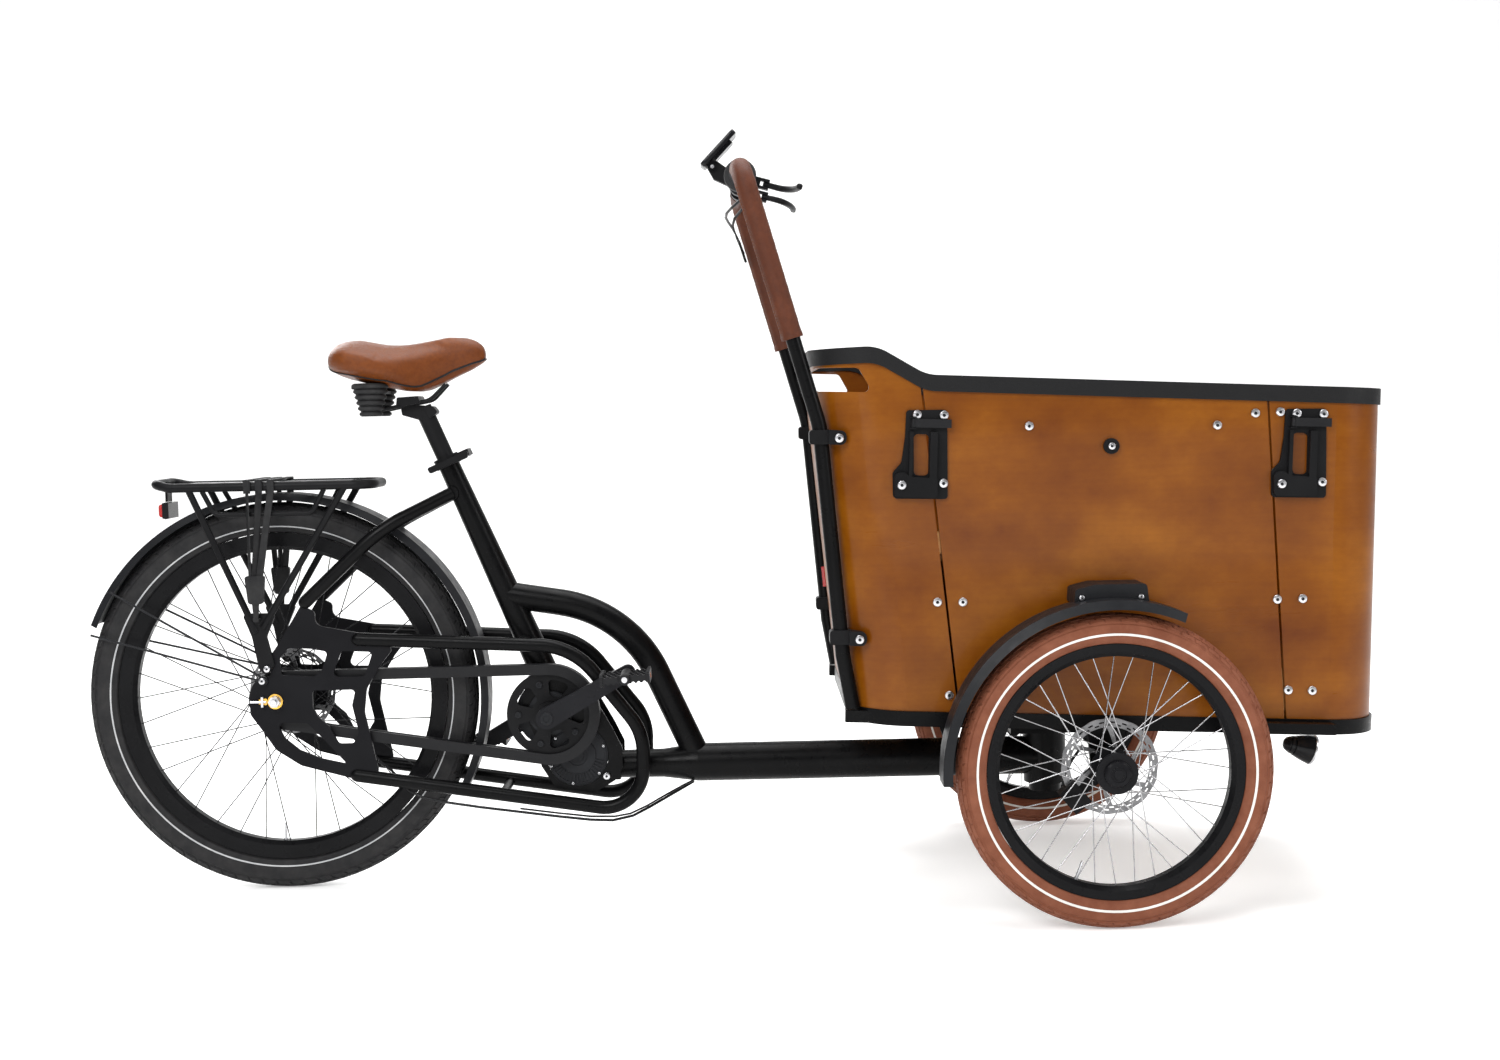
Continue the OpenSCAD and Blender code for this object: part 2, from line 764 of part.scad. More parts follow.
module rear_sprocket() color("#8a8b8d") at_rear_wheel() {
    difference() {
        union() {
            turned(0, 0, chain_y - 1.5, chain_y + 1.5, 76);
            turned(0, 0, chain_y - 6, -34, 40);
        }
        turned(0, 0, -70, -20, axle_d + 2 * fit);
        for (k = [0 : 5])
            rotate([0, 60 * k, 0])
                turned(29, 0, -60, -45, 10);
    }
}

module front_hub(s) {
    difference() {
        union() {
            turned(0, 0, -22, 26, 40);
            both_sides()
                turned(0, 0, front_flange_y - 2, front_flange_y + 2, 2 * front_flange_r);
            turned(0, 0, -s * 42, -s * 20, 36);
            rotor(-s * 39);
            turned(0, 0, s * 20, s * 38, 44);
        }
        turned(0, 0, -s * 60, s * 34, stub_d + 2 * fit);
    }
}

module front_tyre_right() color("#8d4a31") at_front_wheel(-1) tyre(front_r, front_section, front_rim_r);

module front_tyre_left() color("#8d4a31") at_front_wheel(1) tyre(front_r, front_section, front_rim_r);

module front_rim_right() color("#111112") at_front_wheel(-1) rim(front_rim_r, front_rim_in);

module front_rim_left() color("#111112") at_front_wheel(1) rim(front_rim_r, front_rim_in);

module front_spokes_right() color("#d0d0d0")
    at_front_wheel(-1) spokes(front_flange_r, front_flange_y, front_rim_in);

module front_spokes_left() color("#d0d0d0")
    at_front_wheel(1) spokes(front_flange_r, front_flange_y, front_rim_in);

module front_hub_right() color("#2f3032") at_front_wheel(-1) front_hub(-1);

module front_hub_left() color("#2f3032") at_front_wheel(1) front_hub(1);

// ---------- box ----------

// Open U seen from above: the closed end is at x = 0
module u_outline(l, half_w, r) {
    translate([r, -half_w])
        square([l - r, 2 * half_w]);
    translate([0, r - half_w])
        square([r + 1, 2 * (half_w - r)]);
    for (s = [-1, 1])
        translate([r, s * (half_w - r)])
            circle(r = r);
}

// Wall of a U, grown outwards and inwards
module u_wall(l, grow) {
    difference() {
        translate([-grow, 0])
            u_outline(l + grow, box_half_w + grow, corner_r + grow);
        translate([ply + grow, 0])
            u_outline(l, box_half_w - ply - grow, corner_r - ply - grow);
    }
}

module rear_shell(l, grow) {
    translate([rear_wall_x, 0, 0])
        rotate([0, -rear_lean, 0])
            translate([0, 0, -60])
                linear_extrude(760)
                    u_wall(l, grow);
}

// Everything inside the rear panel's outer face
module rear_core() {
    translate([rear_wall_x, 0, 0])
        rotate([0, -rear_lean, 0])
            translate([0, 0, -60])
                linear_extrude(760)
                    u_outline(rear_wall_l, box_half_w, corner_r);
}

module front_shell(l, grow) {
    translate([front_wall_x, 0, 0])
        rotate([0, -front_lean, 0])
            mirror([1, 0, 0])
                translate([0, 0, -60])
                    linear_extrude(760)
                        u_wall(l, grow);
}

function rim_edge(down) = [for (p = bent_line(rim_line, rim_bend)) p - [0, down]];
function on_line(g, z) = g[0][0] + (g[1][0] - g[0][0]) * (z - g[0][1]) / (g[1][1] - g[0][1]);

// The part of the box's side view below the rim, between two upright edges
module side_view(low_foot, low_top, high_foot, high_top) {
    intersection() {
        polygon(concat([[-520, band_h]], rim_edge(rim_h), [[560, band_h]]));
        polygon([[low_foot, 0], [low_top, 700], [high_top, 700], [high_foot, 0]]);
    }
}

edge_a = [for (z = [0, 700]) on_line(gap_a, z)];
edge_b = [for (z = [0, 700]) on_line(gap_b, z)];

hand_hold = [[-448, 591, 6], [-374, 592, 10], [-350, 552, 8], [-440, 552, 6]];

module box_rear_panel() color("#b5712c") box_frame() {
    intersection() {
        rear_shell(rear_wall_l + 80, 0);
        upright(-box_half_w - 1, box_half_w + 1)
            difference() {
                side_view(-600, -600, edge_a[0] - panel_gap / 2, edge_a[1] - panel_gap / 2);
                polygon(rounded(hand_hold));
            }
    }
}

module box_side_panels() color("#b5712c") box_frame() {
    both_sides()
        upright(box_half_w - ply, box_half_w)
            side_view(edge_a[0] + panel_gap / 2, edge_a[1] + panel_gap / 2,
                edge_b[0] - panel_gap / 2, edge_b[1] - panel_gap / 2);
}

module box_front_panel() color("#b5712c") box_frame() {
    intersection() {
        front_shell(front_wall_l, 0);
        upright(-box_half_w - 1, box_half_w + 1)
            side_view(edge_b[0] + panel_gap / 2, edge_b[1] + panel_gap / 2, 600, 600);
    }
}

module box_rim() color("#1a1a1b") box_frame() {
    intersection() {
        union() {
            rear_shell(rear_wall_l + 120, rim_over);
            front_shell(front_wall_l + 40, rim_over);
            both_sides()
                translate([-270, box_half_w - ply - rim_over, 400])
                    cube([620, ply + 2 * rim_over, 300]);
        }
        upright(-box_half_w - 20, box_half_w + 20)
            polygon(concat(rim_edge(0), [for (i = [len(rim_edge(0)) - 1 : -1 : 0]) rim_edge(rim_h)[i]]));
    }
}

module box_floor() color("#a9733a") box_frame() {
    translate([0, 0, band_h])
        linear_extrude(ply)
            base_outline(-ply - 1.5);
}

// Plan of the box, grown by the given amount
module base_outline(grow) {
    translate([rear_wall_x - grow, 0])
        u_outline(front_wall_x - rear_wall_x - corner_r + grow, box_half_w + grow, corner_r + grow);
    translate([front_wall_x + grow, 0])
        mirror([1, 0])
            u_outline(front_wall_x - rear_wall_x - corner_r + grow, box_half_w + grow, corner_r + grow);
}

arm_in = 316;

module chassis() color("#19191a") {
    box_frame() {
        linear_extrude(band_h - 0.2)
            difference() {
                base_outline(rim_over);
                base_outline(-26);
            }
        for (member = [[-250, 50], [-75, 180], [330, 50]])
            translate([member[0], -box_half_w + 10, 0])
                cube([member[1], 2 * box_half_w - 20, band_h - 0.2]);
        both_sides()
            upright(box_half_w + rim_over, box_half_w + 34)
                polygon(rounded([[300, 4, 4], [428, 4, 6], [430, 22, 6], [300, 22, 4]]));
        both_sides()
            translate([rear_wall_x - 12, bar_y - 12, 0])
                cube([60, 24, 20]);
    }
    bike() {
        translate([pivot_x - 70, -60, head_high + gap])
            cube([150, 120, 318 - head_high - gap]);
        translate([pivot_x, 0, head_low - 15])
            cylinder(h = 130, d = pivot_d);
        translate([pivot_x, 0, head_low - 15])
            cylinder(h = 15 - gap, d = 58);
        translate([front_x - 20, -arm_in - 10, 280])
            cube([40, 2 * arm_in + 20, 36]);
        both_sides() {
            upright(arm_in, arm_in + 10)
                polygon(rounded([[front_x - 32, 324, 6], [front_x + 32, 318, 6], [front_x + 24, 236, 20],
                    [front_x - 24, 236, 20]]));
            turned(front_x, front_r, arm_in, track_half + 30, stub_d);
            turned(front_x, front_r, arm_in + 8, track_half - 44, 34);
        }
        translate([1862, -14, 284])
            cube([28, 28, 12]);
    }
}

bench_z = 275;

module bench() color("#b98147") box_frame() {
    half = box_half_w - ply - 8;
    translate([0, 0, bench_z])
        linear_extrude(ply)
            polygon(rounded([[-364, -half, 74], [-130, -half, 4], [-130, half, 4], [-364, half, 74]]));
    translate([-144, -box_half_w + ply + 8, band_h + ply + gap])
        cube([ply, 2 * (box_half_w - ply) - 16, bench_z - band_h - ply - gap]);
}

module battery() color("#1d1e20") box_frame() {
    upright(-190, 190)
        polygon(rounded([[-330, band_h + ply + gap, 8], [-220, band_h + ply + gap, 8],
            [-220, 130, 14], [-330, 130, 14]]));
}

// Bracket that holds a pole of the rain cover, drawn about its lower middle
bracket_at = [-266, 360];
bracket_plate = [[-46, -3, 7], [44, -2, 6], [39, 145, 6], [-28, 143, 6], [-29, 98, 30], [-34, 56, 14], [-48, 40, 8]];
bracket_slot = [[-13, 36, 7], [11, 36, 7], [10, 104, 7], [-15, 104, 7]];
bracket_places = [[-266, 381], [358, 396]];
clip_z = 122;
clip_pin_d = 3;
screw_r = 7;

module pole_bracket() {
    upright(box_half_w, box_half_w + 5)
        difference() {
            polygon(rounded(bracket_plate));
            polygon(rounded(bracket_slot));
        }
    upright(box_half_w + 5, box_half_w + 14) {
        translate([-22, 30])
            square([6, 78]);
        translate([12, 30])
            square([12, 78]);
        polygon(rounded([[-44, 0, 6], [26, 0, 6], [26, 32, 5], [-20, 34, 4], [-30, 42, 12], [-46, 38, 10]]));
    }
    for (z = [clip_z - 9, clip_z + 9])
        translate([-21, box_half_w + 5, z - 1])
            cube([10, 10, 2]);
    translate([-16, box_half_w + 10, clip_z - 9])
        cylinder(h = 18, d = clip_pin_d);
    for (p = [[-10, 136, 5], [34, 136, 5], [36, 24, 5], [-33, 20, 14]])
        turned(p[0], p[1], box_half_w + p[2], box_half_w + p[2] + 3, 2 * screw_r);
}

panel_screws = [[-91, 502], [219, 510], [281, 531], [322, 534], [-234, 208], [-192, 209], [329, 224],
    [371, 226], [353, 73], [393, 73], [-210, 53]];

module box_fittings() color("#2a2a2b") box_frame() {
    both_sides() {
        for (p = bracket_places)
            translate([p[0], 0, p[1]])
                pole_bracket();
        for (p = panel_screws)
            turned(p[0], p[1], box_half_w, box_half_w + 3, 2 * screw_r);
        turned(45, 472, box_half_w, box_half_w + 7, 26);
    }
}

// Clip lever: its hinge stands upright at the left end of the flap
module clip_lever(p, s) {
    hinge_y = box_half_w + 10;
    difference() {
        union() {
            translate([p[0] - 16, s * hinge_y, p[1] + clip_z - 7])
                cylinder(h = 14, d = 7);
            translate([p[0] - 14, s > 0 ? hinge_y - 2 : -hinge_y - 3.5, p[1] + clip_z - 7])
                cube([60, 5.5, 14]);
        }
        translate([p[0] - 16, s * hinge_y, p[1] + clip_z - 10])
            cylinder(h = 20, d = clip_pin_d + 2 * fit);
    }
}

module clip_lever_rear_right() color("#303033") box_frame() clip_lever(bracket_places[0], -1);

module clip_lever_rear_left() color("#303033") box_frame() clip_lever(bracket_places[0], 1);

module clip_lever_front_right() color("#303033") box_frame() clip_lever(bracket_places[1], -1);

module clip_lever_front_left() color("#303033") box_frame() clip_lever(bracket_places[1], 1);

front_guard_in = 266;
front_guard_out = 281;

module front_mudguards() color("#2a2b2d") bike() {
    both_sides() {
        translate([front_x, track_half, front_r])
            rotate([90, 0, 0])
                rotate([0, 0, 66])
                    rotate_extrude(angle = 117)
                        polygon([[front_guard_in, -37], [front_guard_in, -34], [front_guard_out - 3, -27],
                            [front_guard_out - 3, 27], [front_guard_in, 34], [front_guard_in, 37],
                            [front_guard_out, 29], [front_guard_out, -29]]);
        difference() {
            upright(box_half_w, track_half - 8)
                polygon(rounded([[1374, 528, 2], [1376, 553, 5], [1408, 561, 6], [1492, 561, 6], [1496, 528, 2]]));
            turned(front_x, front_r, box_half_w - 20, track_half + 50, 2 * (front_guard_out - 3));
        }
    }
}

module headlamp() color("#242426") bike() {
    translate([1836, 0, 222])
        rotate([0, 90, 0])
            cylinder(h = 44, d1 = 30, d2 = 56);
    translate([1836, 0, 222])
        sphere(d = 30);
    translate([1863, -5, 242])
        cube([6, 10, 42]);
}

module front_calipers() color("#2c2c2e") bike() {
    both_sides()
        difference() {
            translate([front_x, 0, front_r])
                rotate([0, 140, 0]) {
                    translate([60, track_half - 54, -22])
                        cube([34, 28, 44]);
                    translate([10, arm_in + 10, -14])
                        cube([80, track_half - arm_in - 64, 28]);
                }
            turned(front_x, front_r, track_half - 40.6, track_half - 37.4, 2 * rotor_r + 4);
            turned(front_x, front_r, track_half - 80, track_half - 20, 40);
        }
}

// ---------- handlebar ----------

function bar_point(p, s, out = 0) = [p[0], s * (bar_y + out), p[2]];
bar_path = [bar_point(bar_low, -1), bar_point(bar_knee, -1), bar_point(bar_bend, -1), bar_point(bar_top, -1),
    bar_point(bar_top, 1), bar_point(bar_bend, 1), bar_point(bar_knee, 1), bar_point(bar_low, 1)];
bar_bends = [120, 160, bar_corner_r, bar_corner_r, 160, 120];
sleeve_dir = unit(bar_top - bar_bend);
sleeve_start = bar_bend + 152 * sleeve_dir;

module handlebar() color("#1f1f21") bike() {
    bent_tube(bar_path, bar_bends, bar_d);
}

module grip_sleeves() color("#8a4a2c") bike() {
    difference() {
        for (end = [-222, 126])
            bent_tube([bar_point(sleeve_start, sign(end)), bar_point(bar_top, sign(end)),
                [bar_top[0], end, bar_top[2]]], [bar_corner_r], sleeve_d);
        bent_tube(bar_path, bar_bends, bar_d);
    }
}

module bar_clamp(z, x) {
    upright(bar_y - 16, bar_y + 16)
        polygon(rounded([[x - 19, z - 12, 5], [x + 18, z - 12, 2], [x + 18, z + 12, 2], [x - 19, z + 12, 5]]));
    upright(bar_y, bar_y + 28)
        polygon(rounded([[x + 13, z - 12, 2], [x + 42, z - 14, 10], [x + 42, z + 10, 10], [x + 13, z + 12, 2]]));
    turned(x + 30, z - 2, bar_y + 28, bar_y + 31, 2 * screw_r);
}

display_pivot = [800, 0, 1290];
lever_tilt = 15;
lever_reach = 46;
lever_pin_d = 4;

module handlebar_clamps() color("#262627") {
    difference() {
        bike() {
            both_sides() {
                bar_clamp(807, 973);
                bar_clamp(472, 1001);
            }
        }
        bike()
            bent_tube(bar_path, bar_bends, bar_d);
        box_frame()
            rear_core();
    }
    bike()
        difference() {
            union() {
                for (y = [-95, 95])
                    turned(bar_top[0], bar_top[2], y - 12, y + 12, 36);
                turned(bar_top[0], bar_top[2], -11, 11, 40);
                both_sides()
                    lever_perch(95);
                upright(-8, 8)
                    polygon(rounded([[790, 1290, 4], [802, 1268, 4], [840, 1250, 4], [842, 1276, 6],
                        [806, 1302, 6]]));
            }
            turned(display_pivot[0], display_pivot[2], -20, 20, 5 + 2 * fit);
            bent_tube(bar_path, bar_bends, bar_d);
        }
}

// Lug that carries a brake lever's pivot
module lever_perch(y) {
    translate([bar_top[0], y, bar_top[2]])
        rotate([0, lever_tilt, 0])
            difference() {
                translate([10, -9, -9])
                    cube([lever_reach - 4, 18, 18]);
                translate([lever_reach - 10, -12, -4.5])
                    cube([30, 24, 9]);
            }
    translate([bar_top[0], y, bar_top[2]])
        rotate([0, lever_tilt, 0])
            translate([lever_reach, 0, -6])
                cylinder(h = 12, d = lever_pin_d);
}

module brake_lever(s) {
    translate([bar_top[0], s * 95, bar_top[2]])
        rotate([0, lever_tilt, 0])
            translate([lever_reach, 0, 0])
                difference() {
                    union() {
                        translate([-5, -5, -4])
                            cube([34, 10, 8]);
                        linear_extrude(11, center = true)
                            polygon(rounded([[22, -6 * s, 2], [36, -6 * s, 6], [56, 42 * s, 30],
                                [64, 97 * s, 5], [53, 97 * s, 5], [44, 46 * s, 30]]));
                    }
                    cylinder(h = 20, d = lever_pin_d + 2 * fit, center = true);
                }
}

module brake_lever_right() color("#232325") bike() brake_lever(-1);

module brake_lever_left() color("#232325") bike() brake_lever(1);

module twist_grip() color("#2d2d30") bike() {
    difference() {
        union() {
            turned(bar_top[0], bar_top[2], -216, -132, 35);
            turned(bar_top[0], bar_top[2], -150, -112, 56);
        }
        turned(bar_top[0], bar_top[2], -230, -100, bar_d + 2 * fit);
    }
}

module display() color("#232326") bike() {
    translate(display_pivot)
        rotate([0, -46, 0]) {
            translate([-12, -32, 8])
                cube([84, 64, 10]);
            both_sides()
                translate([-6, 9, -6])
                    cube([14, 5, 16]);
            turned(0, 0, -14, 14, 5);
        }
}

right_lever_route = [[868, -88, 1242], [852, -70, 1226], [834, -40, 1214], [824, 0, 1208],
    [822, 60, 1206], [826, 120, 1204], [834, 180, 1198], [846, 226, 1176], [858, 252, 1140]];
left_lever_route = [[868, 88, 1242], [852, 110, 1226], [838, 150, 1214], [834, 190, 1204],
    [842, 224, 1184], [854, 250, 1156]];
front_brake_route = [[1400, 300, 284], [1378, 318, 262], [1364, 326, 236], [1360, 330, 214]];

module bar_cables() color("#0c0c0d") bike() {
    cord(right_lever_route, 5);
    cord(left_lever_route, 5);
    both_sides()
        cord(front_brake_route, 5);
}

seat_tube();
main_frame();
rear_stays();
dropout_plates();
motor();
chain_case();
chain();
rear_mudguard();
rack();
luggage_straps();
tail_light();
rear_caliper();
axle_hardware();
frame_cables();
seat_clamp();
seat_lever();
seatpost();
saddle_frame();
saddle_pad();
crank_arms();
chainring();
pedal_right();
pedal_left();
rear_tyre();
rear_rim();
rear_spokes();
rear_hub();
rear_sprocket();
box_floor();
box_rear_panel();
box_side_panels();
box_front_panel();
box_rim();
chassis();
bench();
battery();
handlebar();
grip_sleeves();
handlebar_clamps();
bar_cables();
box_fittings();
front_mudguards();
headlamp();
front_calipers();
brake_lever_right();
brake_lever_left();
twist_grip();
display();
clip_lever_rear_right();
clip_lever_rear_left();
clip_lever_front_right();
clip_lever_front_left();
front_tyre_right();
front_rim_right();
front_spokes_right();
front_hub_right();
front_tyre_left();
front_rim_left();
front_spokes_left();
front_hub_left();
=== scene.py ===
import math
import bmesh
import bpy
from mathutils import Matrix, Vector


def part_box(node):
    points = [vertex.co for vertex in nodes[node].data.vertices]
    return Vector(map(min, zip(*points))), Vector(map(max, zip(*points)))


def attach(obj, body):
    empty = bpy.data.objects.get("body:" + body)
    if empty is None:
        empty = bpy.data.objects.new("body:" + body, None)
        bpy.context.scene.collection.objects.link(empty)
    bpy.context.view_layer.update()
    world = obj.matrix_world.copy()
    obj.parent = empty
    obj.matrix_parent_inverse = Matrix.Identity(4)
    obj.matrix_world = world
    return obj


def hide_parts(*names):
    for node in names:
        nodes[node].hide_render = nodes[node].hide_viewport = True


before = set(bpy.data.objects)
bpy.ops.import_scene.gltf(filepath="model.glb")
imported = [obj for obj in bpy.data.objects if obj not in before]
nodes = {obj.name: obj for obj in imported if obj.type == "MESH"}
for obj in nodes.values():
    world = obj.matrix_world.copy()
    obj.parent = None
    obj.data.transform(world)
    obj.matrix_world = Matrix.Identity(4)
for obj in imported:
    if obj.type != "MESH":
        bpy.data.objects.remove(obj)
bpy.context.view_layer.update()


# places shared with the frame

def centreOf(name):
    low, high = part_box(name)
    return Vector([(low[i] + high[i]) / 2 for i in range(3)])


rearAxle = centreOf("rear_tyre")
rearAxle.y = 0
frontAxle = {-1: centreOf("front_tyre_right"), 1: centreOf("front_tyre_left")}
sideName = {-1: "right", 1: "left"}
pivotX = frontAxle[1].x - 0.05
boxTilt = math.radians(2.4)


def at(x, y, z):  # millimetres from the rear axle's foot, to metres in the frame
    return Vector((rearAxle.x + x / 1000, y / 1000, z / 1000))


def boxAt(x, y, z):  # millimetres in the tilted box's own axes
    c, s = math.cos(boxTilt), math.sin(boxTilt)
    return Vector((pivotX + (x * c + z * s) / 1000, y / 1000, 0.313 + (z * c - x * s) / 1000))


# materials

def newMaterial(name, colour, rough, metal=0.0, coat=0.0, coatRough=0.1, spec=0.5, sheen=0.0):
    mat = bpy.data.materials.new(name)
    mat.use_nodes = True
    bsdf = mat.node_tree.nodes["Principled BSDF"]
    bsdf.inputs["Base Color"].default_value = (*colour, 1)
    bsdf.inputs["Roughness"].default_value = rough
    bsdf.inputs["Metallic"].default_value = metal
    bsdf.inputs["Coat Weight"].default_value = coat
    bsdf.inputs["Coat Roughness"].default_value = coatRough
    bsdf.inputs["Specular IOR Level"].default_value = spec
    bsdf.inputs["Sheen Weight"].default_value = sheen
    return mat


def coords(mat, scale=(1, 1, 1), turn=(0, 0, 0)):
    tree = mat.node_tree
    tex = tree.nodes.new("ShaderNodeTexCoord")
    mapping = tree.nodes.new("ShaderNodeMapping")
    mapping.inputs["Scale"].default_value = scale
    mapping.inputs["Rotation"].default_value = turn
    tree.links.new(tex.outputs["Object"], mapping.inputs["Vector"])
    return mapping.outputs["Vector"]


def noise(mat, vector, scale, detail=3.0, rough=0.5):
    node = mat.node_tree.nodes.new("ShaderNodeTexNoise")
    node.inputs["Scale"].default_value = scale
    node.inputs["Detail"].default_value = detail
    node.inputs["Roughness"].default_value = rough
    mat.node_tree.links.new(vector, node.inputs["Vector"])
    return node.outputs["Fac"]


def cells(mat, vector, scale, feature="DISTANCE_TO_EDGE"):
    node = mat.node_tree.nodes.new("ShaderNodeTexVoronoi")
    node.feature = feature
    node.inputs["Scale"].default_value = scale
    mat.node_tree.links.new(vector, node.inputs["Vector"])
    return node.outputs["Distance"]


def ramp(mat, fac, stops):
    node = mat.node_tree.nodes.new("ShaderNodeValToRGB")
    row = node.color_ramp
    while len(row.elements) < len(stops):
        row.elements.new(0.5)
    for element, (place, colour) in zip(row.elements, stops):
        element.position = place
        element.color = (*colour, 1)
    mat.node_tree.links.new(fac, node.inputs["Fac"])
    return node.outputs["Color"]


def mixColour(mat, fac, a, b, mode="MIX"):
    node = mat.node_tree.nodes.new("ShaderNodeMix")
    node.data_type = "RGBA"
    node.blend_type = mode
    links = mat.node_tree.links
    if isinstance(fac, float):
        node.inputs[0].default_value = fac
    else:
        links.new(fac, node.inputs[0])
    links.new(a, node.inputs[6])
    links.new(b, node.inputs[7])
    return node.outputs[2]


def remap(mat, fac, low, high, toLow, toHigh):
    node = mat.node_tree.nodes.new("ShaderNodeMapRange")
    node.inputs["From Min"].default_value = low
    node.inputs["From Max"].default_value = high
    node.inputs["To Min"].default_value = toLow
    node.inputs["To Max"].default_value = toHigh
    mat.node_tree.links.new(fac, node.inputs["Value"])
    return node.outputs["Result"]


def bump(mat, heights):  # each height: (socket, strength, distance in metres)
    tree = mat.node_tree
    last = None
    for fac, strength, distance in heights:
        node = tree.nodes.new("ShaderNodeBump")
        node.inputs["Strength"].default_value = strength
        node.inputs["Distance"].default_value = distance
        tree.links.new(fac, node.inputs["Height"])
        if last:
            tree.links.new(last, node.inputs["Normal"])
        last = node.outputs["Normal"]
    tree.links.new(last, tree.nodes["Principled BSDF"].inputs["Normal"])


def setSocket(mat, name, value):
    mat.node_tree.links.new(value, mat.node_tree.nodes["Principled BSDF"].inputs[name])


def paint(name, colour, rough, grain=1400):
    mat = newMaterial(name, colour, rough, spec=0.08)
    v = coords(mat)
    wide = noise(mat, v, 9, 4)
    fine = noise(mat, v, grain, 2)
    lighter = tuple(min(1, c * 1.4 + 0.001) for c in colour)
    setSocket(mat, "Base Color", ramp(mat, wide, [(0.35, colour), (0.75, lighter)]))
    setSocket(mat, "Roughness", remap(mat, noise(mat, v, 46, 5), 0.3, 0.7, rough - 0.07, rough + 0.09))
    bump(mat, [(fine, 0.16, 0.0004)])
    return mat


def plastic(name, colour, rough, grain=900, depth=0.0004, strength=0.3):
    mat = newMaterial(name, colour, rough, spec=0.16)
    v = coords(mat)
    setSocket(mat, "Roughness", remap(mat, noise(mat, v, 60, 4), 0.3, 0.7, rough - 0.06, rough + 0.1))
    bump(mat, [(cells(mat, v, grain, "F1"), strength, depth)])
    return mat


def brushed(name, colour, rough, stretch=(40, 40, 900)):
    mat = newMaterial(name, colour, rough, metal=1.0)
    v = coords(mat, stretch)
    streak = noise(mat, v, 3, 3)
    setSocket(mat, "Roughness", remap(mat, streak, 0.3, 0.7, rough - 0.08, rough + 0.12))
    darker = tuple(c * 0.72 for c in colour)
    setSocket(mat, "Base Color", ramp(mat, noise(mat, coords(mat), 70, 5), [(0.3, darker), (0.62, colour)]))
    bump(mat, [(streak, 0.12, 0.0003)])
    return mat


def leather(name, light, dark, rough, grain):
    mat = newMaterial(name, light, rough, spec=0.2)
    v = coords(mat)
    big = noise(mat, v, 14, 5, 0.6)
    mottle = noise(mat, v, 160, 4)
    tone = ramp(mat, big, [(0.3, dark), (0.66, light)])
    spots = ramp(mat, mottle, [(0.3, (0.78, 0.74, 0.7)), (0.65, (1, 1, 1))])
    setSocket(mat, "Base Color", mixColour(mat, 1.0, tone, spots, "MULTIPLY"))
    setSocket(mat, "Roughness", remap(mat, mottle, 0.3, 0.7, rough - 0.08, rough + 0.12))
    creases = remap(mat, cells(mat, v, grain), 0.0, 0.28, 0.0, 1.0)
    bump(mat, [(creases, 0.32, 0.0005), (noise(mat, v, 55, 5), 0.2, 0.0012)])
    return mat


def plywood(name, deep, mid, light, coat, stretch=(1.0, 1.0, 7.5)):
    mat = newMaterial(name, mid, 0.34, coat=coat, coatRough=0.07, spec=0.15)
    v = coords(mat, stretch)
    warp = noise(mat, v, 2.1, 6, 0.62)
    tree = mat.node_tree
    wave = tree.nodes.new("ShaderNodeTexWave")
    wave.bands_direction = "Z"
    wave.inputs["Scale"].default_value = 2.2
    wave.inputs["Distortion"].default_value = 9
    wave.inputs["Detail"].default_value = 4
    wave.inputs["Detail Scale"].default_value = 0.7
    tree.links.new(v, wave.inputs["Vector"])
    cloud = noise(mat, coords(mat, (1, 1, 1.3)), 4.6, 7, 0.62)
    tone = ramp(mat, cloud, [(0.28, deep), (0.52, mid), (0.78, light)])
    grain = ramp(mat, wave.outputs["Fac"],
                 [(0.0, (0.8, 0.76, 0.72)), (0.5, (1, 1, 1)), (1.0, (0.9, 0.88, 0.86))])
    tone = mixColour(mat, 0.22, tone, mixColour(mat, 1.0, tone, grain, "MULTIPLY"))
    pores = noise(mat, coords(mat, (18, 18, 420)), 5, 2)
    flecks = ramp(mat, pores, [(0.34, (0.72, 0.66, 0.6)), (0.5, (1, 1, 1))])
    tone = mixColour(mat, 0.25, tone, mixColour(mat, 1.0, tone, flecks, "MULTIPLY"))
    setSocket(mat, "Base Color", tone)
    setSocket(mat, "Roughness", remap(mat, warp, 0.3, 0.7, 0.26, 0.44))
    bump(mat, [(pores, 0.06, 0.0004), (cloud, 0.05, 0.004)])
    return mat


def rubber(name, colour, dust, rough, grain=700):
    mat = newMaterial(name, colour, rough, spec=0.2)
    v = coords(mat)
    setSocket(mat, "Base Color", ramp(mat, noise(mat, v, 34, 6, 0.65), [(0.36, colour), (0.78, dust)]))
    setSocket(mat, "Roughness", remap(mat, noise(mat, v, 90, 4), 0.3, 0.7, rough - 0.08, rough + 0.1))
    bump(mat, [(noise(mat, v, grain, 3), 0.25, 0.0005)])
    return mat


